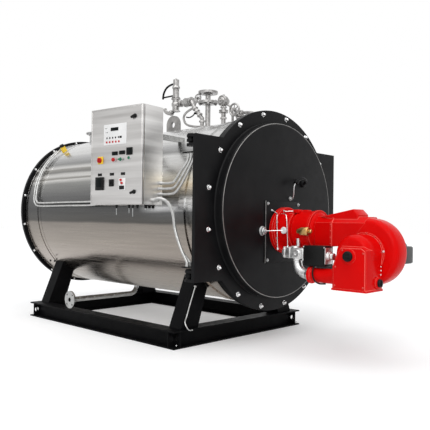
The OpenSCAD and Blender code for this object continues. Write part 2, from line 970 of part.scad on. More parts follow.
module duct_outline() {
    polygon([[-duct_half, duct_z[0]], [duct_half, duct_z[0]],
        [duct_half, duct_z[1] - duct_chamfer], [duct_half - duct_chamfer, duct_z[1]],
        [duct_chamfer - duct_half, duct_z[1]], [-duct_half, duct_z[1] - duct_chamfer]]);
}

module fan_scroll() {
    color(signal_red) {
        translate([0, collar_y, 0])
            rotate([90, 0, 0])
                linear_extrude(collar_y - fan_at[1])
                    duct_outline();
        translate(fan_at)
            rotate([90, 0, 90])
                hull()
                    for (i = [0 : 2])
                        translate([0, 0, rim_step[i]])
                            linear_extrude(scroll_w - 2 * rim_step[i])
                                scroll_outline(rim_inset[i]);
        translate([-hood_half, 0, 0])
            rotate([90, 0, 90])
                linear_extrude(2 * hood_half)
                    polygon([for (p = hood) [p[1], p[2]]]);
    }
}

module air_box() {
    color(signal_red) {
        translate([box_near[0], 0, 0])
            rotate([90, 0, 90])
                linear_extrude(box_w)
                    polygon(concat([[box_near[1], box_near[2]], [box_far[1], box_near[2]]],
                        [for (p = box_shoulder) [box_far[1] - p[0], box_far[2] - p[1]]],
                        [[box_near[1] + box_brow[0], box_far[2]], [box_near[1], box_far[2] - box_brow[1]]]));
        along_x(fan_at - [drum_len, 0, 0], drum_len, drum_r);
        translate(fan_at - [drum_len, 0, 0])
            rotate([0, -90, 0])
                cylinder(h = drum_nose[0], r1 = drum_r, r2 = drum_nose[1]);
    }
}

module air_knobs() {
    color(dark_plastic) {
        along_x([box_near[0] - air_knob[1], fan_at[1], fan_at[2] - plate_drop], air_knob[1], air_knob[0]);
        translate([trim_place[0], 0, burner_z + trim_place[1]])
            along_y(box_near[1] - trim_knob[1], trim_knob[1], trim_knob[0]);
    }
}

module fan_motor() {
    side = fan_at + [scroll_w, 0, 0];
    seat = [max(duct_half, side[0]) + motor_gap, side[1], side[2]];
    near = seat - [-terminal_x, motor_r + terminal_box[1] / 2, terminal_box[2] / 2 + terminal_drop];
    color(steel_black) {
        along_x(side, seat[0] - side[0], motor_neck);
        along_x(seat, motor_len - motor_cap, motor_r);
        translate(seat + [motor_len - motor_cap, 0, 0])
            rotate([0, 90, 0])
                cylinder(h = motor_cap, r1 = motor_r, r2 = motor_r - motor_cap);
        block(near, near + terminal_box);
    }
}

module gas_valve() {
    half = [valve_half, 0, 0];
    mid_y = (valve_near[1] + valve_far[1]) / 2;
    color(cast_grey) {
        block(valve_near - half, valve_far + half);
        difference() {
            translate([stub_x, mid_y, valve_far[2]])
                cylinder(h = burner_z - valve_far[2], r = stub_r);
            on_burner()
                along_y(mid_y - 2 * stub_r, 4 * stub_r, collar_r, $fn = big_fn);
        }
        translate(gas_end + [0, 0, gas_bend])
            rotate([0, 90, 0])
                rotate_extrude(angle = 90)
                    translate([gas_bend, 0])
                        circle(r = elbow_r);
        translate(gas_end + [0, gas_bend, gas_bend])
            cylinder(h = valve_near[2] - gas_end[2] - gas_bend, r = elbow_r);
    }
}

module gas_pipe() {
    color(signal_red)
        translate([gas_x, 0, gas_end[2]]) {
            along_y(box_far[1], gas_end[1] - box_far[1], gas_r);
            along_y(gas_end[1] - gas_lip[1], gas_lip[1], gas_lip[0]);
        }
}

module valve_actuator() {
    half = [valve_half, 0, 0];
    color(dark_plastic)
        block(actuator_near - half, actuator_far + half);
    color(cast_grey)
        translate([gas_x, 0, (actuator_near[2] + actuator_far[2]) / 2])
            along_y(actuator_near[1] - connector[1], connector[1], connector[0]);
}

// Cabinet
module at_cabinet() {
    translate([cab_x, cab_y, cab_z])
        rotate([0, 0, cab_turn])
            children();
}

module cabinet_bracket() {
    color(steel_black)
        for (y = arm_y) for (z = arm_z)
            on_jacket()
                at_cabinet()
                    translate([cab_d, y, z])
                        cube([jacket_r, arm, arm]);
}

module cabinet_box() {
    color(stainless)
        at_cabinet() {
            difference() {
                translate([cab_box_x, 0, 0])
                    cube([cab_box_d, cab_w, cab_h]);
                translate([cab_box_x - eps, cab_wall, cab_wall])
                    cube([cab_box_d + eps - cab_wall, cab_w - 2 * cab_wall, cab_h - 2 * cab_wall]);
            }
            for (z = cab_hinge_z)
                translate([cab_pin_x, cab_pin_y, z]) {
                    translate([0, 0, -knuckle_h])
                        cylinder(h = knuckle_h, r = knuckle_r);
                    cylinder(h = knuckle_h, r = cab_pin_r);
                    block([cab_gap / 2, cab_w - cab_pin_y, -knuckle_h],
                        [cab_gap / 2 + knuckle_web, 0, 0]);
                }
        }
}

module mounting_plate() {
    back = cab_d - cab_wall;
    color(plate_orange)
        at_cabinet() {
            translate([back - panel_off - panel_t, panel_margin, panel_margin])
                cube([panel_t, cab_w - 2 * panel_margin, cab_h - 2 * panel_margin]);
            for (y = [2 * panel_margin, cab_w - 2 * panel_margin])
                for (z = [2 * panel_margin, cab_h - 2 * panel_margin])
                    along_x([back - panel_off, y, z], panel_off, spacer_r);
        }
}

// Gland standing out of the cabinet's near side
module side_gland(x, z) {
    at_cabinet()
        translate([x, 0, z])
            along_y(-side_gland_h, side_gland_h, gland_r + eps);
}

module upper_conduits() {
    color(cast_grey) {
        for (route = upper_routes)
            sweep(route, conduit_r, [1, 0, 0.1]);
        for (z = upper_gland_z)
            side_gland(upper_gland_x, z);
        for (y = gland_y)
            translate([gland_x, y, gland_plate_z[0] - gland_h])
                cylinder(h = gland_h, r = gland_r);
    }
}

module lower_conduits() {
    plate_top = gland_plate_z[1] + gland_plate[3];
    color(cast_grey) {
        for (route = lower_routes) {
            end = route[len(route) - 1];
            sweep(route, hose_r, [1, 0.2, 0.1]);
            translate([end[0], end[1], plate_top])
                cylinder(h = gland_h, r = hose_r + eps);
        }
        for (x = lower_gland_x)
            side_gland(x, lower_gland_z);
        translate([riser_place[0], riser_place[1], plate_top])
            cylinder(h = gland_plate_z[0] - plate_top, r = conduit_r);
    }
}

module earth_wire() {
    top = earth_route[0];
    end = earth_route[len(earth_route) - 1];
    color(cast_grey)
        mirror([1, 0, 0]) {
            sweep(earth_route, earth_r, [0.3, 1, 0]);
            translate([top[0], 0, top[2]])
                along_y(leg_y0 - earth_boss[1], earth_boss[1], earth_boss[0]);
            translate([end[0], 0, end[2]])
                along_y(-beam / 2 - earth_boss[1], earth_boss[1], earth_r);
        }
}

module cabinet_door() {
    color(stainless)
        at_cabinet() {
            cube([cab_door_t, cab_w, cab_h]);
            for (z = cab_hinge_z)
                translate([cab_pin_x, cab_pin_y, z])
                    difference() {
                        union() {
                            translate([0, 0, knuckle_gap])
                                cylinder(h = knuckle_h - knuckle_gap, r = knuckle_r);
                            block([-cab_gap / 2 - knuckle_web, cab_w - cab_pin_y - eps, knuckle_gap],
                                [-cab_gap / 2, 0, knuckle_h]);
                        }
                        cylinder(h = knuckle_h + eps, r = cab_pin_r + cab_pin_gap);
                    }
        }
}

// Plate on the cabinet's face
module on_face(p) {
    at_cabinet()
        translate([-p[4], p[0] - p[2] / 2, p[1] - p[3] / 2])
            cube([p[4], p[2], p[3]]);
}

module display_panel() {
    color(panel_white)
        on_face(display);
}

module door_instruments() {
    color(dark_plastic) {
        for (p = face_plates)
            on_face(p);
        for (k = face_knobs)
            at_cabinet()
                along_x([-k[3], k[0], k[1]], k[3], k[2]);
    }
}

base_rail(-1);  // base_rail_left
base_rail(1);  // base_rail_right
base_cross(0);  // base_cross_front
base_cross(beam_span);  // base_cross_rear
leg(-1, leg_y0);  // leg_front_left
leg(1, leg_y0);  // leg_front_right
leg(-1, beam_span - leg_d - leg_y0);  // leg_rear_left
leg(1, beam_span - leg_d - leg_y0);  // leg_rear_right
front_flange();
boiler_shell();
jacket();
rear_flange();
rear_cover();
tube_plate();
furnace_tube();
smoke_tubes();
flue_outlet();
lifting_lug();
steam_nozzle();
safety_valve();
vent_valve();
feed_valve();
drain_pipe();
rear_sensor();
rear_conduits();
hinge_bracket();
latch_bracket();
gland_plates();
cabinet_bracket();
cabinet_box();
mounting_plate();
upper_conduits();
lower_conduits();
earth_wire();
door_plate();
door_dish();
door_lining();
sight_port();
burner_plate();
burner_flange();
burner_head();
blast_tube();
fan_scroll();
air_box();
air_knobs();
fan_motor();
gas_valve();
gas_pipe();
valve_actuator();
cabinet_door();
display_panel();
door_instruments();
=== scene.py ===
import math

import bmesh
import bpy
from mathutils import Matrix, Vector


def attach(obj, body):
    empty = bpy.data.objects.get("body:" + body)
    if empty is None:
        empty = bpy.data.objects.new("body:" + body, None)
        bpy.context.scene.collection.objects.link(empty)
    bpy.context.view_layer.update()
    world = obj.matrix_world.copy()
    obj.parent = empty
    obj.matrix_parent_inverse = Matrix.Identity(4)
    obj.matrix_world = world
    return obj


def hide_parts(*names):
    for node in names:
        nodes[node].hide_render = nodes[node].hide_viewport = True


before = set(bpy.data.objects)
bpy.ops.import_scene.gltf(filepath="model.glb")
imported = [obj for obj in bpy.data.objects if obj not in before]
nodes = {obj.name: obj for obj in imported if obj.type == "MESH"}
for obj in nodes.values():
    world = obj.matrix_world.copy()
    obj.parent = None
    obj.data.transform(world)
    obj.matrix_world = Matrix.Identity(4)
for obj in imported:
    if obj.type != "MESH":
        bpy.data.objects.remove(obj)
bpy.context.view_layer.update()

scene = bpy.context.scene
MM = 0.001
PAINT_PATCH = 6
CREASE = math.radians(35)

# Places in millimetres, in the part's own frame
AXIS_Z, BURNER_Z = 1090, 930
JACKET_R, CROWN_Z = 770, 1860
DOOR_Y, DISH_Y, PLATE_Y, FLANGE_Y, COLLAR_Y = -380, -466, -482, -510, -856
FAN_X, FAN_Y, FAN_Z = -105, -1290, 780
CAB_AT, CAB_TURN = Vector((-1088, 21, 1114)), math.radians(6.8)
CAB_X = Vector((math.cos(CAB_TURN), math.sin(CAB_TURN), 0))
CAB_Y = Vector((-math.sin(CAB_TURN), math.cos(CAB_TURN), 0))
UP = Vector((0, 0, 1))


def cab(x, y, z):
    return CAB_AT + CAB_X * x + CAB_Y * y + UP * z


# Materials
def new_material(name):
    m = bpy.data.materials.new(name)
    m.use_nodes = True
    return m, m.node_tree, m.node_tree.nodes["Principled BSDF"]


def noise(nt, scale, detail=3.0, stretch=(1, 1, 1)):
    place = nt.nodes.new("ShaderNodeTexCoord")
    size = nt.nodes.new("ShaderNodeMapping")
    size.inputs["Scale"].default_value = stretch
    tex = nt.nodes.new("ShaderNodeTexNoise")
    tex.inputs["Scale"].default_value = scale
    tex.inputs["Detail"].default_value = detail
    nt.links.new(place.outputs["Object"], size.inputs["Vector"])
    nt.links.new(size.outputs["Vector"], tex.inputs["Vector"])
    return tex.outputs["Fac"]


def ramp(nt, fac, stops):
    node = nt.nodes.new("ShaderNodeValToRGB")
    cells = node.color_ramp.elements
    while len(cells) < len(stops):
        cells.new(0.5)
    for cell, (at, colour) in zip(cells, stops):
        cell.position = at
        cell.color = (*colour, 1)
    nt.links.new(fac, node.inputs["Fac"])
    return node.outputs["Color"]


def spread(nt, fac, low, high):
    node = nt.nodes.new("ShaderNodeMapRange")
    node.inputs["From Min"].default_value = 0.3
    node.inputs["From Max"].default_value = 0.7
    node.inputs["To Min"].default_value = low
    node.inputs["To Max"].default_value = high
    nt.links.new(fac, node.inputs["Value"])
    return node.outputs["Result"]


def span(nt, value, start, end):
    node = nt.nodes.new("ShaderNodeMapRange")
    node.inputs["From Min"].default_value = start
    node.inputs["From Max"].default_value = end
    nt.links.new(value, node.inputs["Value"])
    return node.outputs["Result"]


def bump(nt, fac, strength, distance, normal=None):
    node = nt.nodes.new("ShaderNodeBump")
    node.inputs["Strength"].default_value = strength
    node.inputs["Distance"].default_value = distance
    nt.links.new(fac, node.inputs["Height"])
    if normal:
        nt.links.new(normal, node.inputs["Normal"])
    return node.outputs["Normal"]


def soft_edge(nt, radius):
    node = nt.nodes.new("ShaderNodeBevel")
    node.samples = 4
    node.inputs["Radius"].default_value = radius
    return node.outputs["Normal"]


def painted_edge_highlights(nt, colour, edge_highlight, radius):
    """Painted highlight: paint lighter along the edges."""
    lean = nt.nodes.new("ShaderNodeVectorMath")
    lean.operation = "DOT_PRODUCT"
    nt.links.new(soft_edge(nt, radius), lean.inputs[0])
    nt.links.new(nt.nodes.new("ShaderNodeNewGeometry").outputs["Normal"], lean.inputs[1])
    mix = nt.nodes.new("ShaderNodeMix")
    mix.data_type = "RGBA"
    nt.links.new(span(nt, lean.outputs["Value"], 0.985, 0.86), mix.inputs["Factor"])
    nt.links.new(colour, mix.inputs["A"])
    mix.inputs["B"].default_value = (*edge_highlight, 1)
    return mix.outputs["Result"]


def paint(name, dark, light, rough, peel=0.05, edge=0.004, specular=0.5, edge_highlight=None):
    m, nt, b = new_material(name)
    colour = ramp(nt, noise(nt, PAINT_PATCH, 5), [(0.32, dark), (0.68, light)])
    # painted highlight along the edges, when a colour is given
    if edge_highlight:
        colour = painted_edge_highlights(nt, colour, edge_highlight, 0.006)
    nt.links.new(colour, b.inputs["Base Color"])
    nt.links.new(spread(nt, noise(nt, PAINT_PATCH * 3, 4), *rough), b.inputs["Roughness"])
    normal = bump(nt, noise(nt, 320, 2), peel, 0.001, soft_edge(nt, edge) if edge else None)
    nt.links.new(normal, b.inputs["Normal"])
    b.inputs["Specular IOR Level"].default_value = specular
    return m


def metal(name, dark, light, rough, grain=(1, 1, 1), grain_scale=60, metallic=1.0, edge=0.0, relief=0.06):
    m, nt, b = new_material(name)
    b.inputs["Metallic"].default_value = metallic
    streak = noise(nt, grain_scale, 4, grain)
    nt.links.new(ramp(nt, streak, [(0.3, dark), (0.7, light)]), b.inputs["Base Color"])
    nt.links.new(spread(nt, streak, *rough), b.inputs["Roughness"])
    normal = soft_edge(nt, edge) if edge else None
    nt.links.new(bump(nt, streak, relief, 0.0006, normal), b.inputs["Normal"])
    return m


def jacket_steel():
    m, nt, b = new_material("jacket_steel")
    b.inputs["Metallic"].default_value = 1.0
    place = nt.nodes.new("ShaderNodeTexCoord")
    split = nt.nodes.new("ShaderNodeSeparateXYZ")
    nt.links.new(place.outputs["Object"], split.inputs["Vector"])
    drift = nt.nodes.new("ShaderNodeMath")
    drift.operation = "ADD"
    nt.links.new(split.outputs["Z"], drift.inputs[0])
    nt.links.new(spread(nt, noise(nt, 1.8, 3, (1, 0.35, 1)), -0.016, 0.016), drift.inputs[1])
    height = span(nt, drift.outputs["Value"], 0.32, 1.86)
    # Painted reflections: the base colour by height stands in for what the steel reflects. The lower half is duller,
    # there is a dark band at middle height, and light and dark bands run above it.
    painted_lower_reflection = [(0.0, (0.46, 0.42, 0.37)), (0.20, (0.46, 0.41, 0.37)), (0.30, (0.33, 0.295, 0.26)),
             (0.41, (0.25, 0.225, 0.20)), (0.425, (0.09, 0.086, 0.08))]
    painted_top_reflection = [(0.84, (0.42, 0.42, 0.42)), (0.88, (0.66, 0.66, 0.65)), (1.0, (0.70, 0.70, 0.70))]
    painted_reflection_bands = ramp(nt, height, painted_lower_reflection + [
        (0.50, (0.085, 0.085, 0.085)), (0.58, (0.14, 0.14, 0.14)), (0.66, (0.26, 0.26, 0.25)),
        (0.684, (0.62, 0.61, 0.59)), (0.694, (0.24, 0.23, 0.21)), (0.71, (0.66, 0.65, 0.63)),
        (0.725, (0.55, 0.54, 0.52)), (0.74, (0.20, 0.195, 0.185)), (0.762, (0.30, 0.29, 0.27)),
        (0.772, (0.68, 0.67, 0.65)), (0.80, (0.24, 0.24, 0.235))] + painted_top_reflection)
    # Painted reflections and painted light: lighter bands at the front end of the left flank, beside the cabinet, where
    # its shade falls
    painted_front_reflections = ramp(nt, height, painted_lower_reflection + [
        (0.48, (0.12, 0.12, 0.12)), (0.51, (0.80, 0.80, 0.80)), (0.545, (0.85, 0.85, 0.84)),
        (0.56, (0.34, 0.33, 0.31)), (0.62, (0.58, 0.50, 0.38)), (0.66, (0.80, 0.76, 0.66)),
        (0.70, (0.66, 0.65, 0.63)), (0.78, (0.66, 0.66, 0.65)), (0.80, (0.30, 0.30, 0.295))] + painted_top_reflection)
    front_reflection_share = nt.nodes.new("ShaderNodeMath")
    front_reflection_share.operation = "MULTIPLY"
    nt.links.new(span(nt, split.outputs["Y"], 0.45, 0.20), front_reflection_share.inputs[0])
    nt.links.new(span(nt, split.outputs["X"], 0.0, -0.3), front_reflection_share.inputs[1])
    reflection_band_mix = nt.nodes.new("ShaderNodeMix")
    reflection_band_mix.data_type = "RGBA"
    nt.links.new(front_reflection_share.outputs["Value"], reflection_band_mix.inputs["Factor"])
    nt.links.new(painted_reflection_bands, reflection_band_mix.inputs["A"])
    nt.links.new(painted_front_reflections, reflection_band_mix.inputs["B"])
    streak = noise(nt, 45, 4, (1, 0.03, 1))
    mix = nt.nodes.new("ShaderNodeMix")
    mix.data_type = "RGBA"
    mix.blend_type = "MULTIPLY"
    mix.inputs["Factor"].default_value = 1.0
    nt.links.new(reflection_band_mix.outputs["Result"], mix.inputs["A"])
    nt.links.new(ramp(nt, streak, [(0.3, (0.84, 0.84, 0.84)), (0.7, (1, 1, 1))]), mix.inputs["B"])
    nt.links.new(mix.outputs["Result"], b.inputs["Base Color"])
    nt.links.new(spread(nt, streak, 0.20, 0.30), b.inputs["Roughness"])
    wavy = bump(nt, noise(nt, 2.6, 2, (1, 0.28, 1)), 0.22, 0.02)
    dents = bump(nt, noise(nt, 9, 2, (1, 0.12, 1)), 0.10, 0.006, wavy)
    nt.links.new(bump(nt, streak, 0.05, 0.0006, dents), b.inputs["Normal"])
    return m


def corrugated(name):
    m, nt, b = new_material(name)
    b.inputs["Metallic"].default_value = 0.7
    nt.links.new(ramp(nt, noise(nt, 30), [(0.3, (0.40, 0.40, 0.39)), (0.7, (0.58, 0.58, 0.57))]),
                 b.inputs["Base Color"])
    nt.links.new(spread(nt, noise(nt, 90), 0.30, 0.42), b.inputs["Roughness"])
    return m


BLACK = paint("satin_black_paint", (0.004, 0.004, 0.0046), (0.0075, 0.0075, 0.008), (0.34, 0.46), edge=0.006,
              specular=0.10)
FRAME_BLACK = paint("frame_black_paint", (0.0025, 0.0025, 0.003), (0.005, 0.005, 0.0055), (0.4, 0.55), edge=0.004,
                    specular=0.045)
DARK_GREY = paint("dark_grey_enamel", (0.028, 0.030, 0.030), (0.042, 0.045, 0.045), (0.42, 0.55))
# red enamel with a painted highlight along its edges
RED = paint("signal_red_enamel", (0.63, 0.0022, 0.0022), (0.69, 0.003, 0.0026), (0.20, 0.28), peel=0.04,
            specular=0.05, edge_highlight=(0.90, 0.17, 0.14))
JACKET = jacket_steel()
BRUSHED = metal("brushed_cabinet_steel", (0.42, 0.41, 0.40), (0.62, 0.61, 0.60), (0.30, 0.40), (0.05, 0.05, 1),
                18, edge=0.003, relief=0.015)
# Painted light: a lighter copy of the cabinet steel, so the box's sides read brighter
LIT_BOX_STEEL = metal("box_steel_painted_light", (0.56, 0.55, 0.54), (0.84, 0.83, 0.82), (0.30, 0.40), (0.05, 0.05, 1),
                    18, edge=0.003, relief=0.015)
POLISHED = metal("polished_pipe_steel", (0.30, 0.30, 0.295), (0.46, 0.46, 0.455), (0.18, 0.30), grain_scale=25)
CAST = metal("cast_valve_steel", (0.22, 0.215, 0.21), (0.46, 0.45, 0.44), (0.24, 0.42), grain_scale=40, edge=0.003)
RAW = metal("raw_plate_steel", (0.20, 0.195, 0.19), (0.36, 0.35, 0.34), (0.38, 0.55), grain_scale=14, edge=0.003)
CHROME = metal("nut_steel", (0.62, 0.62, 0.62), (0.86, 0.86, 0.86), (0.16, 0.30), grain_scale=80)
DULL = metal("dull_zinc", (0.36, 0.37, 0.37), (0.55, 0.56, 0.56), (0.35, 0.5), grain_scale=30, metallic=0.8)
BRASS = metal("brass", (0.42, 0.25, 0.09), (0.62, 0.40, 0.16), (0.25, 0.42), grain_scale=50)
ALU = metal("cast_aluminium", (0.55, 0.55, 0.55), (0.80, 0.80, 0.79), (0.28, 0.45), grain_scale=45, edge=0.003)
CONDUIT = corrugated("conduit_metal")
BRICK = paint("refractory", (0.50, 0.42, 0.32), (0.66, 0.58, 0.46), (0.8, 0.95), peel=0.4, edge=0)
PLASTIC = paint("black_plastic", (0.005, 0.005, 0.005), (0.009, 0.009, 0.009), (0.35, 0.5), edge=0.002, specular=0.16)
WHITE = paint("white_panel", (0.74, 0.74, 0.735), (0.82, 0.82, 0.815), (0.28, 0.4), edge=0.001)
GLASS = paint("display_glass", (0.004, 0.006, 0.006), (0.008, 0.010, 0.010), (0.20, 0.28), edge=0, specular=0.06)
YELLOW = paint("yellow_plastic", (0.78, 0.50, 0.02), (0.88, 0.60, 0.04), (0.3, 0.42), edge=0.002)
ORANGE = paint("orange_plate", (0.52, 0.20, 0.03), (0.62, 0.27, 0.05), (0.4, 0.5), edge=0)
KNOB_RED = paint("red_plastic", (0.40, 0.012, 0.012), (0.52, 0.02, 0.018), (0.25, 0.35), edge=0.001, specular=0.2)
KNOB_GREEN = paint("green_plastic", (0.008, 0.13, 0.06), (0.015, 0.19, 0.09), (0.25, 0.35), edge=0.001, specular=0.2)
SOOT = paint("sooted_steel", (0.02, 0.018, 0.016), (0.06, 0.054, 0.048), (0.7, 0.9), peel=0.2, edge=0)


# Mesh helpers, in millimetres
def turn_to(axis):
    return Vector((0, 0, 1)).rotation_difference(Vector(axis).normalized()).to_matrix()


def lathe(bm, at, axis, profile, sides=32, start=0.0):
    """Ring after ring of (radius, height) along axis; a radius of 0 closes with a point."""
    m, at, rings = turn_to(axis), Vector(at), []
    for r, h in profile:
        if r < 1e-6:
            rings.append([bm.verts.new(at + m @ Vector((0, 0, h)))])
        else:
            rings.append([bm.verts.new(at + m @ Vector((r * math.cos(start + 2 * math.pi * k / sides),
                                                        r * math.sin(start + 2 * math.pi * k / sides), h)))
                          for k in range(sides)])
    for a, b in zip(rings, rings[1:]):
        for k in range(sides):
            j = (k + 1) % sides
            if len(a) == 1 and len(b) > 1:
                bm.faces.new((a[0], b[j], b[k]))
            elif len(b) == 1 and len(a) > 1:
                bm.faces.new((a[k], a[j], b[0]))
            elif len(a) > 1:
                bm.faces.new((a[k], a[j], b[j], b[k]))
    for ring, flip in ((rings[0], True), (rings[-1], False)):
        if len(ring) > 1:
            bm.faces.new(ring[::-1] if flip else ring)


def ring(bm, at, axis, inner, outer, h0, h1, sides=64, chamfer=2.0):
    """Flat ring with chamfered outer corners."""
    m, at = turn_to(axis), Vector(at)
    profile = [(inner, h0), (outer - chamfer, h0), (outer, h0 + chamfer), (outer, h1 - chamfer),
               (outer - chamfer, h1), (inner, h1)]
    rows = [[bm.verts.new(at + m @ Vector((r * math.cos(2 * math.pi * k / sides),
                                           r * math.sin(2 * math.pi * k / sides), h)))
             for k in range(sides)] for r, h in profile]
    for a, b in zip(rows, rows[1:] + rows[:1]):
        for k in range(sides):
            j = (k + 1) % sides
            bm.faces.new((a[k], a[j], b[j], b[k]))


def nut(bm, at, axis, r, h, washer=0.0, dome=False, turn=0.3):
    """Hexagon nut or bolt head with chamfered corners, on a washer, with a domed cap if asked."""
    at, axis, base = Vector(at), Vector(axis).normalized(), 0.0
    if washer:
        base = r * 0.18
        lathe(bm, at, axis, [(washer, 0), (washer, base * 0.7), (washer - base * 0.3, base), (r * 0.5, base)], 20)
    lathe(bm, at, axis, [(r * 0.92, base), (r, base + h * 0.15), (r, base + h * 0.8), (r * 0.86, base + h)], 6, turn)
    if dome:
        steps = [(r * 0.80 * math.cos(a), base + h * 0.9 + r * 0.72 * math.sin(a))
                 for a in [math.radians(15 * i) for i in range(6)]]
        lathe(bm, at, axis, [(r * 0.80, base + h * 0.8)] + steps + [(0, base + h * 0.9 + r * 0.72)], 16)
    else:
        lathe(bm, at, axis, [(r * 0.5, base + h), (r * 0.5, base + h * 1.3), (r * 0.4, base + h * 1.45),
                             (0, base + h * 1.45)], 12)


def block(bm, low, high, bevel=3.0, matrix=None, segments=2):
    """Box with rounded edges."""
    low, high = Vector(low), Vector(high)
    made = bmesh.ops.create_cube(bm, size=1.0)["verts"]
    for v in made:
        v.co = Vector((low[i] + (v.co[i] + 0.5) * (high[i] - low[i]) for i in range(3)))
    edges = list({e for v in made for e in v.link_edges})
    bevel = min(bevel, 0.45 * min(high[i] - low[i] for i in range(3)))
    out = bmesh.ops.bevel(bm, geom=edges, offset=bevel, segments=segments, profile=0.5, affect="EDGES")
    if matrix:
        done = {v for f in out["faces"] for v in f.verts} | {v for v in made if v.is_valid}
        for v in done:
            v.co = matrix @ v.co


def spline(points, steps):
    p, out = [Vector(q) for q in points], []
    for i in range(len(p) - 1):
        a, b, c, d = p[max(i - 1, 0)], p[i], p[i + 1], p[min(i + 2, len(p) - 1)]
        for k in range(steps):
            t = k / steps
            out.append((2 * b + (c - a) * t + (2 * a - 5 * b + 4 * c - d) * t * t
                        + (3 * b - a - 3 * c + d) * t ** 3) / 2)
    return out + [p[-1]]


def tube(bm, points, r, sides=14, steps=8, rib=0.0, pitch=6.0):
    """Round tube along a smoothed route; rib makes the turns of a wound conduit."""
    path = spline(points, steps)
    if rib:
        fine, left = [path[0]], pitch / 2
        for a, b in zip(path, path[1:]):
            step = (b - a).length
            while left <= step:
                fine.append(a + (b - a) * (left / step))
                left += pitch / 2
            left -= step
        path = fine
    ahead = [(path[min(i + 1, len(path) - 1)] - path[max(i - 1, 0)]).normalized() for i in range(len(path))]
    side = ahead[0].orthogonal().normalized()
    rows = []
    for i, (p, t) in enumerate(zip(path, ahead)):
        side = (side - t * side.dot(t)).normalized()
        other = t.cross(side)
        rr = r - (rib if i % 2 else 0)
        rows.append([bm.verts.new(p + (side * math.cos(2 * math.pi * k / sides)
                                       + other * math.sin(2 * math.pi * k / sides)) * rr) for k in range(sides)])
    for a, b in zip(rows, rows[1:]):
        for k in range(sides):
            j = (k + 1) % sides
            bm.faces.new((a[k], a[j], b[j], b[k]))
    bm.faces.new(rows[0][::-1])
    bm.faces.new(rows[-1])


def prism(bm, outline, place, depth, bevel=0.0, segments=2):
    """Outline swept by depth; place(u, v, w) gives a point in the part's frame."""
    a = [bm.verts.new(place(u, v, 0)) for u, v in outline]
    b = [bm.verts.new(place(u, v, depth)) for u, v in outline]
    faces = [bm.faces.new(a[::-1]), bm.faces.new(b)]
    for k in range(len(a)):
        j = (k + 1) % len(a)
        faces.append(bm.faces.new((a[k], a[j], b[j], b[k])))
    if bevel:
        edges = list({e for f in faces[:2] for e in f.edges})
        bmesh.ops.bevel(bm, geom=edges, offset=bevel, segments=segments, profile=0.5, affect="EDGES")


def piece(name, bm, material, body, replaces=()):
    bmesh.ops.recalc_face_normals(bm, faces=bm.faces)
    bmesh.ops.scale(bm, vec=(MM, MM, MM), verts=bm.verts)
    for f in bm.faces:
        f.smooth = True
    for e in bm.edges:
        if len(e.link_faces) == 2:
            e.smooth = e.calc_face_angle(0) < CREASE
    mesh = bpy.data.meshes.new(name)
    bm.to_mesh(mesh)
    bm.free()
    obj = bpy.data.objects.new(name, mesh)
    scene.collection.objects.link(obj)
    mesh.materials.append(material)
    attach(obj, body)
    if replaces:
        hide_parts(*replaces)
    return obj


def around(n, radius, y, z):
    turns = [2 * math.pi * (k + 0.5) / n for k in range(n)]
    return [Vector((radius * math.sin(a), y, z + radius * math.cos(a))) for a in turns]


# CAD nodes keep their shape and get their finish
finishes = {
    JACKET: ["jacket"],
    BRUSHED: ["cabinet_door"],
    LIT_BOX_STEEL: ["cabinet_box"],
    POLISHED: ["drain_pipe", "flue_outlet", "cabinet_bracket"],
    CAST: ["steam_nozzle", "safety_valve", "vent_valve", "feed_valve"],
    RAW: ["lifting_lug"],
    RED: ["burner_flange", "burner_head", "fan_scroll", "air_box", "gas_pipe"],
    ALU: ["gas_valve"],
    BRICK: ["door_lining"],
    ORANGE: ["mounting_plate"],
    YELLOW: ["rear_sensor"],
    WHITE: ["display_panel"],
    PLASTIC: ["door_instruments", "valve_actuator", "air_knobs"],
    CONDUIT: ["rear_conduits", "upper_conduits", "lower_conduits", "earth_wire"],
    DARK_GREY: ["fan_motor"],
    FRAME_BLACK: ["base_cross_front", "base_cross_rear", "base_rail_left", "base_rail_right",
                  "leg_front_left", "leg_front_right", "leg_rear_left", "leg_rear_right"],
    SOOT: ["tube_plate", "furnace_tube", "smoke_tubes", "blast_tube", "boiler_shell"],
}
for finish, names in finishes.items():
    for name in names:
        nodes[name].data.materials.clear()
        nodes[name].data.materials.append(finish)
for name, obj in nodes.items():
    if not any(name in names for names in finishes.values()):
        obj.data.materials.clear()
        obj.data.materials.append(BLACK)

# Front door
bm = bmesh.new()
for at in around(16, 796, DOOR_Y, AXIS_Z):
    nut(bm, at, (0, -1, 0), 15, 13, washer=20, dome=True, turn=at.x * 0.01)
piece("door_rim_nuts", bm, CHROME, "front_door")

bm = bmesh.new()
edge_turns = [math.radians(90 - 15 * i) for i in range(7)]
edge = [(720 - 22 + 22 * math.sin(a), 86 - 22 + 22 * math.cos(a)) for a in edge_turns]
lathe(bm, (0, DOOR_Y, AXIS_Z), (0, -1, 0), [(727, 0), (727, 5), (722, 9), (720, 14)] + edge, 160)
piece("door_dish_cover", bm, BLACK, "front_door", ["door_dish"])

# Painted highlights: a thin bare-metal ring round the dish's front edge and a strip on the burner plate's left edge
# stand in for edge highlights
bm = bmesh.new()
ring(bm, (0, DOOR_Y, AXIS_Z), (0, -1, 0), 708, 715, 77.5, 82, 160, 1)
block(bm, (-227, PLATE_Y + 3, 667), (-224, DISH_Y - 3, 1167), 1)
piece("painted_highlight_strips", bm, RAW, "front_door")

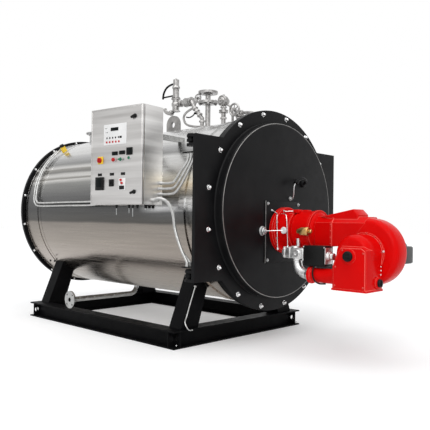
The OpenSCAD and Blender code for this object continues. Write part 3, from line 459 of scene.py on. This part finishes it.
hook = [(285, -8, 1325), (276, -40, 1336), (236, -64, 1355), (170, -70, 1362), (110, -64, 1335), (86, -58, 1290),
        (98, -44, 1222), (110, -24, 1196), (112, -6, 1192)]
bm = bmesh.new()
tube(bm, [(x, DISH_Y + y, z) for x, y, z in hook[:5]], 13, 18, 10)
lathe(bm, (285, DISH_Y, 1325), (0, -1, 0), [(30, 0), (30, 14), (26, 20), (15, 22), (15, 30)], 28)
lathe(bm, (116, DISH_Y - 65, 1339), (-0.62, 0.05, -0.78), [(15, -10), (20, -6), (22, 8), (20, 26), (12, 30)], 20)
piece("sight_hook", bm, BLACK, "front_door", ["sight_port"])
bm = bmesh.new()
tube(bm, [(x, DISH_Y + y, z) for x, y, z in hook[4:]], 5, 10, 8)
nut(bm, (112, DISH_Y, 1192), (0, -1, 0), 14, 12, washer=18)
piece("sight_air_tube", bm, DULL, "front_door")

bm = bmesh.new()
block(bm, (-225, PLATE_Y, 667), (225, DISH_Y, 1167), 4)
piece("burner_mounting_plate", bm, BLACK, "front_door", ["burner_plate"])
bm = bmesh.new()
for x in (-205, 205):
    for z in (690, 1143):
        nut(bm, (x, PLATE_Y, z), (0, -1, 0), 9, 8, washer=13)
for k in range(8):
    a = math.radians(22.5 + 45 * k)
    nut(bm, (168 * math.cos(a), FLANGE_Y - 24, BURNER_Z + 168 * math.sin(a)), (0, -1, 0), 7, 6, washer=10)
piece("burner_plate_bolts", bm, DULL, "front_door")
bm = bmesh.new()
lathe(bm, (-257, DISH_Y, 924), (0, -1, 0), [(38, 0), (38, 5), (34, 8)], 28)
nut(bm, (-257, DISH_Y - 6, 924), (0, -1, 0), 32, 24, turn=0.1)
piece("door_plug", bm, DULL, "front_door")

# Burner
bm = bmesh.new()
outline = []
for t in range(90, 361, 3):
    a, r = math.radians(t), 220 + 32 * (360 - t) / 270
    outline.append((r * math.cos(a), r * math.sin(a)))
rows = []
for w, inset in [(0, 34), (2, 25), (8, 16), (16, 9), (27, 3), (40, 0), (140, 0), (153, 3), (164, 9), (172, 16),
                 (178, 25), (180, 34)]:
    rows.append([bm.verts.new((FAN_X + w, FAN_Y + y * (1 - inset / math.hypot(y, z)),
                               FAN_Z + z * (1 - inset / math.hypot(y, z)))) for y, z in outline])
for a, b in zip(rows, rows[1:]):
    for k in range(len(a)):
        j = (k + 1) % len(a)
        bm.faces.new((a[k], a[j], b[j], b[k]))
bm.faces.new(rows[0][::-1])
bm.faces.new(rows[-1])
duct = [(-104, 823), (104, 823), (104, 997), (59, 1042), (-59, 1042), (-104, 997)]
prism(bm, duct, lambda u, v, w: Vector((u, COLLAR_Y - w, v)), 434, 6)
seam = [(-110, 817), (110, 817), (110, 1000), (62, 1048), (-62, 1048), (-110, 1000)]
prism(bm, seam, lambda u, v, w: Vector((u, -996 - w, v)), 14, 3)
hood = [(-894, 1042), (-1170, 1098), (-1211, 1058), (-1211, 990)]
prism(bm, hood, lambda u, v, w: Vector((-78 + w, u, v)), 156, 8, 3)
piece("fan_housing", bm, RED, "front_door", ["fan_scroll"])

bm = bmesh.new()
intake = [(-1423, 525), (-1157, 525), (-1157, 690), (-1191, 782), (-1223, 834), (-1389, 834), (-1423, 812)]
prism(bm, intake, lambda u, v, w: Vector((-330 + w, u, v)), 225, 7, 3)
cover = [(-1412, 540), (-1168, 540), (-1168, 688), (-1200, 774), (-1229, 822), (-1385, 822), (-1412, 804)]
prism(bm, cover, lambda u, v, w: Vector((-334 + w, u, v)), 8, 2)
block(bm, (-334, -1427, 525), (-101, -1153, 541), 3)
dome = [(138, -10), (138, 130)] + [(96 + 42 * math.cos(a), 130 + 70 * math.sin(a))
                                   for a in [math.radians(15 * i) for i in range(1, 7)]] + [(0, 201)]
lathe(bm, (FAN_X, FAN_Y, FAN_Z), (-1, 0, 0), dome, 72)
lathe(bm, (FAN_X, FAN_Y, FAN_Z), (-1, 0, 0), [(152, 0), (152, 12), (149, 15), (132, 15)], 72)
piece("air_intake_box", bm, RED, "front_door", ["air_box"])

bm = bmesh.new()
lathe(bm, (-330, FAN_Y, 767), (-1, 0, 0), [(54, 0), (54, 6), (48, 12), (42, 14)], 40)
lathe(bm, (-177, -1423, 585), (0, -1, 0), [(42, 0), (42, 8), (37, 13), (32, 14)], 36)
piece("knob_bosses", bm, RED, "front_door")
bm = bmesh.new()
for at, axis, r in (((-342, FAN_Y, 767), (-1, 0, 0), 36), ((-177, -1435, 585), (0, -1, 0), 28)):
    lathe(bm, at, axis, [(r, 0), (r, 14), (r - 3, 19), (r - 9, 21), (r - 12, 19), (0, 19)], 40)
    along = Vector(axis)
    bar = turn_to(axis).to_4x4()
    bar.translation = Vector(at) + along * 18
    block(bm, (-r * 0.22, -r * 0.8, 0), (r * 0.22, r * 0.8, 9), 3, bar)
piece("air_knob_caps", bm, PLASTIC, "front_door", ["air_knobs"])

bm = bmesh.new()
for y, z in ((-1400, 560), (-1180, 560), (-1400, 792), (-1186, 690), (-1240, 808)):
    nut(bm, (-334, y, z), (-1, 0, 0), 5, 3, washer=7)
for z in (560, 785):
    nut(bm, (-127, -1423, z), (0, -1, 0), 5, 3, washer=7)
for k in range(10):
    a = math.radians(-60 + 26 * k)
    nut(bm, (FAN_X - 15, FAN_Y + 145 * math.cos(a), FAN_Z + 145 * math.sin(a)), (-1, 0, 0), 5, 4, washer=7)
for z in (840, 888, 936, 984):
    nut(bm, (-110, -1003, z), (-1, 0, 0), 5, 4)
piece("painted_screws", bm, RED, "front_door")
bm = bmesh.new()
for z in (640, 668, 696):
    nut(bm, (-127, -1423, z), (0, -1, 0), 5, 3, washer=7)
nut(bm, (FAN_X - 2, -1150, 838), (-1, 0, 0), 12, 8, washer=15)
nut(bm, (FAN_X - 15, -1434, 800), (-1, 0, 0), 8, 8, washer=11)
piece("housing_screws", bm, CHROME, "front_door")

bm = bmesh.new()
ring(bm, (0, FLANGE_Y, BURNER_Z), (0, -1, 0), 130, 186, -1, 24, 96, 4)
ring(bm, (0, -650, BURNER_Z), (0, -1, 0), 120, 160, -14, 0)
ring(bm, (0, -830, BURNER_Z), (0, -1, 0), 120, 163, -12, 8)
for s in (-1, 1):
    block(bm, (-30 + s * 60, -700, BURNER_Z + 138), (30 + s * 60, -640, BURNER_Z + 166), 8, segments=3)
lathe(bm, (-142, -606, BURNER_Z), (-1, 0, 0), [(26, -14), (26, 8), (22, 12), (18, 12)], 28)
lathe(bm, (-132, -778, BURNER_Z - 2), (-1, 0, 0), [(22, 0), (22, 30), (18, 36), (12, 36)], 24)
lathe(bm, (-60, -662, BURNER_Z - 132), (0, 0, -1), [(18, -10), (18, 14), (14, 18)], 24)
piece("burner_neck_rings", bm, RED, "front_door")
bm = bmesh.new()
lathe(bm, (-142, -606, BURNER_Z), (-1, 0, 0), [(24, 8), (27, 12), (27, 22), (22, 28), (0, 29)], 28)
piece("inspection_plug", bm, WHITE, "front_door")
bm = bmesh.new()
lathe(bm, (-172, -772, BURNER_Z - 2), (-0.1, -1, 0), [(18, -24), (18, 4), (30, 8), (33, 78), (28, 86), (15, 88),
                                                    (15, 106), (10, 112)], 28)
nut(bm, (-172, -772, BURNER_Z - 2), (-0.1, -1, 0), 28, 14)
piece("flame_detector", bm, BRASS, "front_door")
bm = bmesh.new()
tube(bm, [(-166, PLATE_Y - 6, 1090), (-166, PLATE_Y - 60, 1060), (-190, -560, 1030), (-192, -566, 900),
          (-192, -572, 790)], 4, 10)
tube(bm, [(-100, -520, 1058), (-150, -590, 1062), (-176, -640, 1046), (-180, -652, 960), (-178, -660, 812)], 4, 10)
tube(bm, [(-166, PLATE_Y - 6, 1090), (-90, -500, 1066), (-40, -540, 1082), (30, -640, 1086)], 4, 10)
tube(bm, [(-262, -500, 924), (-206, -548, 928), (-166, -606, 930)], 3, 10)
for at, axis in (((-166, PLATE_Y, 1090), (0, -1, 0)), ((-192, -572, 792), (0, 0, -1)), ((-178, -660, 812), (0, 0, -1))):
    nut(bm, at, axis, 9, 12)
piece("sense_tubes", bm, CHROME, "front_door")

bm = bmesh.new()
block(bm, (-210, -828, 717), (-120, -634, 801), 9, segments=3)
lathe(bm, (-165, -730, 801), (0, 0, 1), [(40, -6), (40, 8), (36, 12), (20, 12)], 32)
lathe(bm, (-138, -731, 801), (0, 0, 1), [(16, -4), (16, 70)], 24)
lathe(bm, (-210, -770, 759), (-1, 0, 0), [(30, -4), (30, 8), (26, 12), (14, 12), (14, 8)], 28)
lathe(bm, (-165, -634, 759), (0, 1, 0), [(34, -4), (34, 14), (30, 18), (20, 18)], 28)
for y in (-815, -700, -650):
    block(bm, (-216, y - 4, 722), (-114, y + 4, 806), 2)
for y in (-812, -650):
    for z in (730, 788):
        nut(bm, (-214, y, z), (-1, 0, 0), 7, 5)
elbow = [(-165, y, z) for y, z in ((-852, 602), (-820, 604), (-785, 617), (-758, 642), (-745, 680), (-745, 720))]
tube(bm, elbow, 37, 32, 8)
lathe(bm, (-165, -852, 602), (0, 1, 0), [(46, -14), (46, 10), (42, 16), (38, 18)], 32)
lathe(bm, (-165, -745, 717), (0, 0, -1), [(46, -4), (46, 10), (42, 14), (36, 14)], 32)
piece("gas_valve_body", bm, ALU, "front_door", ["gas_valve"])

bm = bmesh.new()
block(bm, (-210, -1020, 669), (-120, -828, 823), 6, segments=3)
block(bm, (-214, -1012, 676), (-208, -836, 816), 2)
for y in (-1004, -844):
    for z in (684, 808):
        nut(bm, (-214, y, z), (-1, 0, 0), 5, 3)
tube(bm, [(-200, -925, 674), (-224, -927, 650), (-234, -930, 610), (-230, -945, 568), (-212, -975, 546),
          (-180, -1010, 545)], 6, 10, 10)
piece("actuator_case", bm, PLASTIC, "front_door", ["valve_actuator"])
bm = bmesh.new()
lathe(bm, (-165, -1020, 746), (0, -1, 0), [(38, -6), (38, 8), (34, 12), (34, 26), (26, 30), (26, 50), (20, 52)], 28)
nut(bm, (-165, -1030, 746), (0, -1, 0), 40, 10)
for y in (-1014, -834):
    nut(bm, (-212, y, 812), (-1, 0, 0), 6, 4)
block(bm, (-213, -1026, 690), (-117, -1019, 810), 2)
piece("actuator_connector", bm, ALU, "front_door")
bm = bmesh.new()
pipe_profile = [(55, 0), (55, 262), (64, 266), (66, 272), (66, 288), (62, 292), (38, 292)]
lathe(bm, (-165, -1157, 602), (0, 1, 0), pipe_profile, 40)
lathe(bm, (-165, -1157, 602), (0, 1, 0), [(70, -4), (70, 10), (66, 14), (54, 14)], 40)
piece("gas_inlet_pipe", bm, RED, "front_door", ["gas_pipe"])

bm = bmesh.new()
profile = [(98, -2), (98, 6), (110, 10), (110, 28)]
for k in range(9):
    h = 32 + 18 * k
    profile += [(104, h), (104, h + 6), (110, h + 9), (110, h + 15)]
profile += [(110, 200), (113, 202), (113, 232), (106, 246), (90, 258), (60, 259)]
lathe(bm, (110, FAN_Y, FAN_Z), (1, 0, 0), profile, 48)
lathe(bm, (75, FAN_Y, FAN_Z), (1, 0, 0), [(42, -2), (42, 36)], 32)
block(bm, (185, -1450, 700), (305, -1350, 828), 6, segments=3)
block(bm, (181, -1454, 706), (309, -1446, 822), 3)
piece("motor_casing", bm, DARK_GREY, "front_door", ["fan_motor"])

# Control cabinet
face = Matrix((CAB_X, CAB_Y, UP)).transposed().to_4x4()
face.translation = CAB_AT
outward = -CAB_X
bm = bmesh.new()
block(bm, (-1, 0, 0), (24, 570, 760), 5, face, 3)
for low, high in (((-3, 10, 10), (0, 560, 14)), ((-3, 10, 746), (0, 560, 750)), ((-3, 10, 10), (0, 14, 750)),
                  ((-3, 556, 10), (0, 560, 750))):
    block(bm, low, high, 1.2, face)
for z in (90, 670):
    lathe(bm, cab(25.5, 578, z + 1), UP, [(7, 0), (7, 27), (5, 29)], 20)
    block(bm, (17, 566, z + 2), (24, 580, z + 29), 1, face)
piece("cabinet_leaf", bm, BRUSHED, "cabinet_door_leaf", ["cabinet_door"])

bm = bmesh.new()
block(bm, (-4, 166, 468), (0, 418, 630), 1.5, face)
piece("control_panel", bm, WHITE, "cabinet_door_leaf", ["display_panel"])
bm = bmesh.new()
block(bm, (-7, 254, 576), (-3, 338, 602), 1.5, face)
for y, z in ((292, 399), (212, 402)):
    block(bm, (-9, y - 27, z - 12), (-6, y + 27, z + 12), 1, face)
block(bm, (-11, 108, 386), (-7, 156, 430), 1.5, face)
block(bm, (-15, 428, 140), (-12, 492, 208), 2, face)
piece("display_windows", bm, GLASS, "cabinet_door_leaf")
bm = bmesh.new()
for y, z in ((292, 399), (212, 402)):
    block(bm, (-6.5, y - 30, z - 15), (1, y + 30, z + 15), 2, face)
block(bm, (-8, 101, 379), (1, 163, 437), 3, face)
for y in (460, 322, 200):
    block(bm, (-3, y - 23, 227), (1, y + 23, 249), 1, face)
block(bm, (-13, 417, 115), (1, 503, 219), 4, face, 3)
block(bm, (-12, 305, 142), (1, 347, 198), 3, face)
block(bm, (-9, 180, 117), (-5, 234, 146), 2, face)
block(bm, (-22, 320, 160), (-11, 332, 182), 2, face)
for y, z in ((78, 97), (78, 673)):
    lathe(bm, cab(0, y, z), outward, [(17, -1), (17, 5), (13, 9), (8, 9), (8, 18)], 24)
    spin = Matrix.Rotation(math.radians(20), 4, outward)
    spin.translation = cab(-14, y, z)
    block(bm, (-7, -12, -9), (7, 34, 9), 4, spin @ Matrix((CAB_X, CAB_Y, UP)).transposed().to_4x4(), 3)
for row, z in enumerate((523, 490)):
    for k in range(6):
        if row or k < 5:
            y = 380 - 32 * k
            if not row:
                block(bm, (-6, y - 6, z - 7), (-3, y + 6, z + 7), 1.5, face)
block(bm, (-6, 216, 515), (-3, 240, 531), 1.5, face)
for y in (400, 384):
    lathe(bm, cab(-4, y, 600), outward, [(3, -1), (3, 1.5), (2, 2)], 10)
    lathe(bm, cab(-4, y - 8, 568), outward, [(3, -1), (3, 1.5), (2, 2)], 10)
piece("black_controls", bm, PLASTIC, "cabinet_door_leaf", ["door_instruments"])
bm = bmesh.new()
for k in range(5):
    lathe(bm, cab(-4, 382 - 34 * k, 490), outward, [(8, -1), (8, 3), (6, 5), (0, 5.5)], 16)
for y, z, r in ((458, 352, 21), (300, 350, 15), (214, 190, 9), (204, 166, 9)):
    lathe(bm, cab(-6, y, z), outward, [(r, -6), (r, 10), (r - 2, 13), (0, 14)], 24)
block(bm, (-30, 453, 334), (-14, 463, 370), 3, face)
piece("red_controls", bm, KNOB_RED, "cabinet_door_leaf")
bm = bmesh.new()
block(bm, (-5, 424, 322), (1, 484, 382), 3, face)
piece("switch_plate", bm, YELLOW, "cabinet_door_leaf")
bm = bmesh.new()
for y, z, r in ((225, 350, 14), (135, 357, 12)):
    lathe(bm, cab(0, y, z), outward, [(r, -1), (r, 8), (r - 2, 11), (0, 12)], 24)
block(bm, (-22, 208, 344), (-9, 242, 356), 3, face)
piece("green_controls", bm, KNOB_GREEN, "cabinet_door_leaf")
bm = bmesh.new()
block(bm, (-6, 171, 112), (1, 243, 204), 2, face)
piece("white_frames", bm, WHITE, "cabinet_door_leaf")
bm = bmesh.new()
for y, z, r in ((300, 350, 19), (225, 350, 18), (135, 357, 16)):
    lathe(bm, cab(0, y, z), outward, [(r, -1), (r, 4), (r - 3, 6)], 28)
piece("control_bezels", bm, DULL, "cabinet_door_leaf")

bm = bmesh.new()
for x, y, r in ((60, 150, 8), (60, 190, 8), (60, 330, 8), (110, 150, 9), (110, 60, 12), (150, 60, 12), (190, 60, 12)):
    lathe(bm, cab(x, y, 0), -UP, [(r + 3, -1), (r + 3, 6), (r, 8), (r, 20), (r - 3, 26), (3, 26)], 16)
piece("cabinet_glands", bm, PLASTIC, "boiler")
bm = bmesh.new()
for x, y, drop in ((60, 150, 70), (60, 190, 44), (60, 330, 58)):
    tube(bm, [cab(x, y, -20), cab(x, y, -20 - drop / 2), cab(x + 3, y + 2, -20 - drop)], 3, 8, 4)
for x, y in ((110, 60), (150, 60), (190, 60)):
    lathe(bm, cab(x, y, -26), -UP, [(8, 0), (8, 10), (5, 12)], 14)
piece("cabinet_tails", bm, DULL, "boiler")

# Conduits
def flank(x, y, z):
    return Vector((-JACKET_R - x, y, AXIS_Z + z))


gland_y = (-264, -294, -324)
upper = [[flank(119, 38, 195 - 42 * k), flank(116, -30, 192 - 42 * k), flank(114, -110 - 10 * k, 202 - 40 * k),
          flank(112, -185 - 18 * k, 280 - 32 * k), (-880, gland_y[k] + 16, 1436), (-880, gland_y[k], 1480)]
         for k in range(3)]
bm = bmesh.new()
for k, route in enumerate(upper):
    tube(bm, route, 10, 14, 10, rib=1.2, pitch=7)
    lathe(bm, (-880, gland_y[k], 1498), (0, 0, -1), [(14, 0), (14, 12), (13, 16), (13, 30), (11, 34)], 18)
    lathe(bm, cab(200, 0, 171 - 42 * k), -CAB_Y, [(15, 0), (15, 10), (14, 14), (14, 22), (11, 25)], 18)
piece("upper_conduit_run", bm, CONDUIT, "boiler", ["upper_conduits"])

lower = [[flank(205, 26, 62), flank(180, -30, 75), flank(135, -80, 40), flank(110, -105, -40),
          flank(102, -122, -165), flank(102, -185, -300), flank(110, -262, -400), flank(110, -266, -420)],
         [flank(155, 31, 62), flank(135, -6, 68), flank(95, -40, 25), flank(75, -62, -50),
          flank(68, -80, -165), flank(66, -150, -310), flank(70, -248, -400), flank(70, -252, -420)]]
bm = bmesh.new()
for x, route in zip((114, 164), lower):
    tube(bm, route, 11, 16, 10, rib=1.2, pitch=8)
    lathe(bm, (route[-1][0], route[-1][1], 658), UP, [(15, 0), (15, 14), (14, 18), (14, 32), (12, 34)], 18)
    lathe(bm, cab(x, 0, 38), -CAB_Y, [(15, 0), (15, 10), (14, 14), (14, 22), (12, 25)], 18)
tube(bm, [(-848, -295, 658), (-848, -295, 1498)], 11, 16, 60, rib=0.8, pitch=7)
piece("lower_conduit_run", bm, CONDUIT, "boiler", ["lower_conduits"])

rear = [[flank(-280 - 30 * k, 2208 - 34 * k, 640 + 24 * k), flank(-130, 2200 - 36 * k, 470),
         flank(-32, 2180 - 38 * k, 290), flank(18, 2140 - 38 * k, 130), flank(32, 2090 - 30 * k, 60 + 26 * k),
         flank(36, 1980, 35 + 32 * k), flank(45, 1500, 35 + 32 * k), flank(80, 1000, 35 + 32 * k),
         flank(190, 680, 50 + 32 * k), flank(217, 620, 62 + 32 * k)] for k in range(2)]
bm = bmesh.new()
for k, route in enumerate(rear):
    tube(bm, route, 8.5, 14, 10, rib=0.7, pitch=8)
    a, y = math.radians(54), (2200, 2164)[k]
    lathe(bm, (-JACKET_R * math.sin(a), y, AXIS_Z + JACKET_R * math.cos(a)), (-math.sin(a), 0, math.cos(a)),
          [(10, -6), (10, 16), (7, 20)], 14)
    lathe(bm, cab(168, 570, (38, 70)[k]), CAB_Y, [(14, 0), (14, 10), (13, 14), (13, 22), (11, 24)], 18)
piece("rear_conduit_run", bm, CONDUIT, "boiler", ["rear_conduits"])

earth = [(-575, -43, 470), (-625, -43, 350), (-668, -44, 240), (-702, -62, 200), (-704, -86, 162), (-680, -88, 138),
         (-640, -79, 134)]
bm = bmesh.new()
tube(bm, earth, 5, 10, 10)
lathe(bm, (-575, -35, 470), (0, -1, 0), [(9, 0), (9, 10), (7, 14)], 16)
lathe(bm, (-640, -70, 134), (0, -1, 0), [(5, 0), (5, 14)], 12)
nut(bm, (-575, -49, 470), (0, -1, 0), 8, 5)
piece("earth_lead", bm, CONDUIT, "boiler", ["earth_wire"])

# Barrel trim
bm = bmesh.new()
for at in around(16, 786, 2358, AXIS_Z):
    nut(bm, at, (0, -1, 0), 10, 9, washer=13, dome=True, turn=at.z * 0.01)
piece("rear_ring_nuts", bm, CHROME, "boiler")
bm = bmesh.new()
for y, w in ((-250, 22), (2040, 24), (2330, 26)):
    ring(bm, (0, y, AXIS_Z), (0, 1, 0), 765, 771.6, 0, w, 180, 0.8)
piece("jacket_seams", bm, JACKET, "boiler")
bm = bmesh.new()
for side in (-1, 1):
    for y in (-35, 2081):
        out = -1 if y < 0 else 1
        for x, z in ((622, 560), (572, 552)):
            nut(bm, (side * x, y, z), (0, out, 0), 9, 7, washer=12)
for y in (-70, 2116):
    out = -1 if y < 0 else 1
    for x in (-790, 790):
        nut(bm, (x, y + (13 if y < 0 else -13), 30), (0, out, 0), 7, 5)
piece("leg_bolts", bm, CHROME, "boiler")

bm = bmesh.new()
for k in range(4):
    a = math.radians(45 + 90 * k)
    x, y = 72.5 * math.cos(a), 405 + 72.5 * math.sin(a)
    nut(bm, (x, y, 2108), (0, 0, 1), 13, 10, washer=16)
    nut(bm, (x, y, 2086), (0, 0, -1), 13, 10, washer=16)
for k in range(8):
    a = math.radians(22.5 + 45 * k)
    nut(bm, (150 * math.cos(a), 2095 + 150 * math.sin(a), 1954), (0, 0, -1), 8, 6, washer=11)
ring(bm, (0, 405, 2086), (0, 0, 1), 24, 60, -8, 0, 40)
ring(bm, (0, 405, 2178), (0, 0, 1), 24, 44, -10, 0, 40)
ring(bm, (0, 405, CROWN_Z), (0, 0, 1), 22, 46, -4, 12, 40)
piece("steam_flange_bolts", bm, CAST, "boiler")


def crown(y, z, x=0):
    return Vector((x, y, CROWN_Z + z))


bm = bmesh.new()
for z, r, h in ((203, 44, 14), (255, 42, 40), (322, 46, 14), (338, 40, 12), (430, 38, 26), (500, 26, 10)):
    lathe(bm, crown(848, z), UP, [(r * 0.9, 0), (r, h * 0.2), (r, h * 0.8), (r * 0.9, h)], 6 if h > 12 else 28, 0.3)
for a in range(4):
    t = math.radians(45 + 90 * a)
    nut(bm, crown(848 + 36 * math.sin(t), 334, 36 * math.cos(t)), UP, 8, 8)
    lathe(bm, crown(848 + 27 * math.sin(t), 340, 27 * math.cos(t)), UP, [(4, 0), (4, 92)], 8)
for y, r, h in ((618, 46, 14), (640, 38, 50), (694, 46, 16), (760, 34, 14), (790, 30, 20)):
    collar = [(r * 0.9, 0), (r, h * 0.2), (r, h * 0.8), (r * 0.9, h)]
    lathe(bm, crown(y, 275), (0, 1, 0), collar, 6 if h > 15 else 24, 0.2)
for y, z in ((479, 60), (479, 10)):
    lathe(bm, crown(y, z), UP, [(26, 0), (30, 3), (30, 17), (26, 20)], 6, 0.1)
lean = Vector((0, 111, 124)).normalized()
for d in (40, 90, 130):
    lathe(bm, crown(479, 96) + lean * d, lean, [(25, 0), (29, 3), (29, 15), (25, 18)], 6, 0.1)
lathe(bm, crown(912, 200), (0, 1, 0.05), [(24, -14), (27, -10), (27, 10), (24, 14)], 24)
nut(bm, crown(848, 516), UP, 14, 12)
nut(bm, crown(540, 296, 12), (1, 0, 0), 10, 8)
nut(bm, crown(540, 296, -12), (-1, 0, 0), 10, 8)
piece("relief_valve_details", bm, CAST, "boiler")

bm = bmesh.new()
for z, r, h in ((4, 30, 14), (60, 30, 18), (116, 42, 8), (136, 42, 8), (160, 30, 16)):
    lathe(bm, crown(206, z), UP, [(r * 0.9, 0), (r, h * 0.2), (r, h * 0.8), (r * 0.9, h)], 6 if h > 12 else 28, 0.2)
for x in (-1, 1):
    lathe(bm, crown(206, 226, 30 * x), (x, 0, 0), [(30, 0), (30, 16), (26, 20), (12, 20)], 28)
    nut(bm, crown(206, 226, 50 * x), (x, 0, 0), 12, 8)
for z, r, h in ((4, 28, 14), (44, 28, 14), (62, 34, 10)):
    lathe(bm, crown(20, z), UP, [(r * 0.9, 0), (r, h * 0.2), (r, h * 0.8), (r * 0.9, h)], 6 if h > 12 else 28, 0.2)
ring(bm, crown(206, 226, -24), (-1, 0, 0), 38, 48, 0, 10, 40, 3)
for k in range(4):
    a = math.radians(45 + 90 * k)
    tube(bm, [crown(206, 226, -30), crown(206 + 42 * math.cos(a), 226 + 42 * math.sin(a), -30)], 4, 8, 2)
lathe(bm, crown(-186, 0), UP, [(34, -8), (34, 4), (30, 8), (16, 8)], 28)
lathe(bm, crown(94, 0), UP, [(24, -6), (24, 6), (20, 10), (12, 10)], 24)
lathe(bm, crown(20, 90), (0, -1, 0), [(24, 10), (28, 14), (28, 40), (22, 44)], 6, 0.3)
lathe(bm, crown(479, 0), UP, [(40, -8), (40, 6), (34, 10), (20, 10)], 28)
piece("crown_fitting_details", bm, CAST, "boiler")
bm = bmesh.new()
lean = math.radians(-35)
cap_axis = Vector((math.sin(lean), 0, math.cos(lean)))
lathe(bm, Vector((0, 2122, AXIS_Z)) + cap_axis * (JACKET_R + 58), cap_axis, [(24, 0), (24, 20), (21, 29), (0, 30)], 24)
piece("sensor_cap", bm, PLASTIC, "boiler")
bm = bmesh.new()
tube(bm, [crown(862, 482), crown(920, 481), crown(985, 460), crown(1028, 412), crown(1041, 352)], 10, 14, 8)
tube(bm, [crown(852, 368), crown(1036, 368)], 8, 14, 4)
piece("relief_lever", bm, PLASTIC, "boiler")
bm = bmesh.new()
tube(bm, [crown(560, 150, -20), crown(590, 128, -24), crown(628, 120, -26), crown(668, 128, -26)], 6, 10, 6)
lathe(bm, crown(556, 152, -8), (-1, 0, 0), [(9, -6), (9, 20), (6, 24)], 14)
piece("siphon_lever", bm, PLASTIC, "boiler")

# Camera, light and floor
yaw, pitch, roll = 0.81, 0.009, 0.013
look = Vector((math.sin(yaw) * math.cos(pitch), math.cos(yaw) * math.cos(pitch), math.sin(pitch)))
right0 = Vector((math.cos(yaw), -math.sin(yaw), 0))
up0 = right0.cross(look)
right = right0 * math.cos(roll) + up0 * math.sin(roll)
upward = up0 * math.cos(roll) - right0 * math.sin(roll)
lens = bpy.data.cameras.new("camera")
lens.sensor_width, lens.lens = 36, 48.41
lens.clip_end = 200
camera = bpy.data.objects.new("camera", lens)
camera.matrix_world = Matrix((right, upward, -look)).transposed().to_4x4()
camera.location = (-3.838, -3.357, 1.0036)
scene.collection.objects.link(camera)
scene.camera = camera


def sun(name, direction, strength, angle):
    data = bpy.data.lights.new(name, "SUN")
    data.energy, data.angle = strength, math.radians(angle)
    obj = bpy.data.objects.new(name, data)
    obj.rotation_mode = "QUATERNION"
    obj.rotation_quaternion = Vector(direction).to_track_quat("-Z", "Y")
    scene.collection.objects.link(obj)
    return obj


sun("overhead_light", (0.15, 0.1, -1), 1.5, 70)
sun("side_light", (0.75, 0.45, -0.55), 1.1, 40)
sun("front_light", (0.25, 0.9, -0.45), 0.2, 40)

def seen_rays(nt):
    """1 for the rays that show the white background: camera, mirror and glass rays."""
    rays, last = nt.nodes.new("ShaderNodeLightPath"), None
    for kind in ("Is Camera Ray", "Is Glossy Ray", "Is Transmission Ray"):
        if last:
            either = nt.nodes.new("ShaderNodeMath")
            either.operation = "MAXIMUM"
            nt.links.new(last, either.inputs[0])
            nt.links.new(rays.outputs[kind], either.inputs[1])
            last = either.outputs["Value"]
        else:
            last = rays.outputs[kind]
    return last


world = bpy.data.worlds.new("studio")
scene.world = world
world.use_nodes = True
nt = world.node_tree
nt.nodes.clear()
plain = nt.nodes.new("ShaderNodeBackground")
plain.inputs["Color"].default_value = (0.97, 0.98, 1.0, 1)
plain.inputs["Strength"].default_value = 0.42
white = nt.nodes.new("ShaderNodeBackground")
white.inputs["Color"].default_value = (1, 1, 1, 1)
final = nt.nodes.new("ShaderNodeMixShader")
nt.links.new(seen_rays(nt), final.inputs["Fac"])
nt.links.new(plain.outputs["Background"], final.inputs[1])
nt.links.new(white.outputs["Background"], final.inputs[2])
out = nt.nodes.new("ShaderNodeOutputWorld")
nt.links.new(final.outputs["Shader"], out.inputs["Surface"])

bm = bmesh.new()
bmesh.ops.create_circle(bm, cap_ends=True, segments=96, radius=45)
mesh = bpy.data.meshes.new("floor")
bm.to_mesh(mesh)
bm.free()
floor = bpy.data.objects.new("floor", mesh)
scene.collection.objects.link(floor)
m = bpy.data.materials.new("pale_floor")
m.use_nodes = True
nt = m.node_tree
nt.nodes.clear()
pale = nt.nodes.new("ShaderNodeBsdfDiffuse")
pale.inputs["Color"].default_value = (0.82, 0.82, 0.82, 1)
glow = nt.nodes.new("ShaderNodeEmission")
glow.inputs["Strength"].default_value = 0.22
both = nt.nodes.new("ShaderNodeAddShader")
nt.links.new(pale.outputs["BSDF"], both.inputs[0])
nt.links.new(glow.outputs["Emission"], both.inputs[1])
pick = nt.nodes.new("ShaderNodeMixShader")
nt.links.new(seen_rays(nt), pick.inputs["Fac"])
nt.links.new(pale.outputs["BSDF"], pick.inputs[1])
nt.links.new(both.outputs["Shader"], pick.inputs[2])
out = nt.nodes.new("ShaderNodeOutputMaterial")
nt.links.new(pick.outputs["Shader"], out.inputs["Surface"])
floor.data.materials.append(m)

scene.view_settings.view_transform = "Standard"
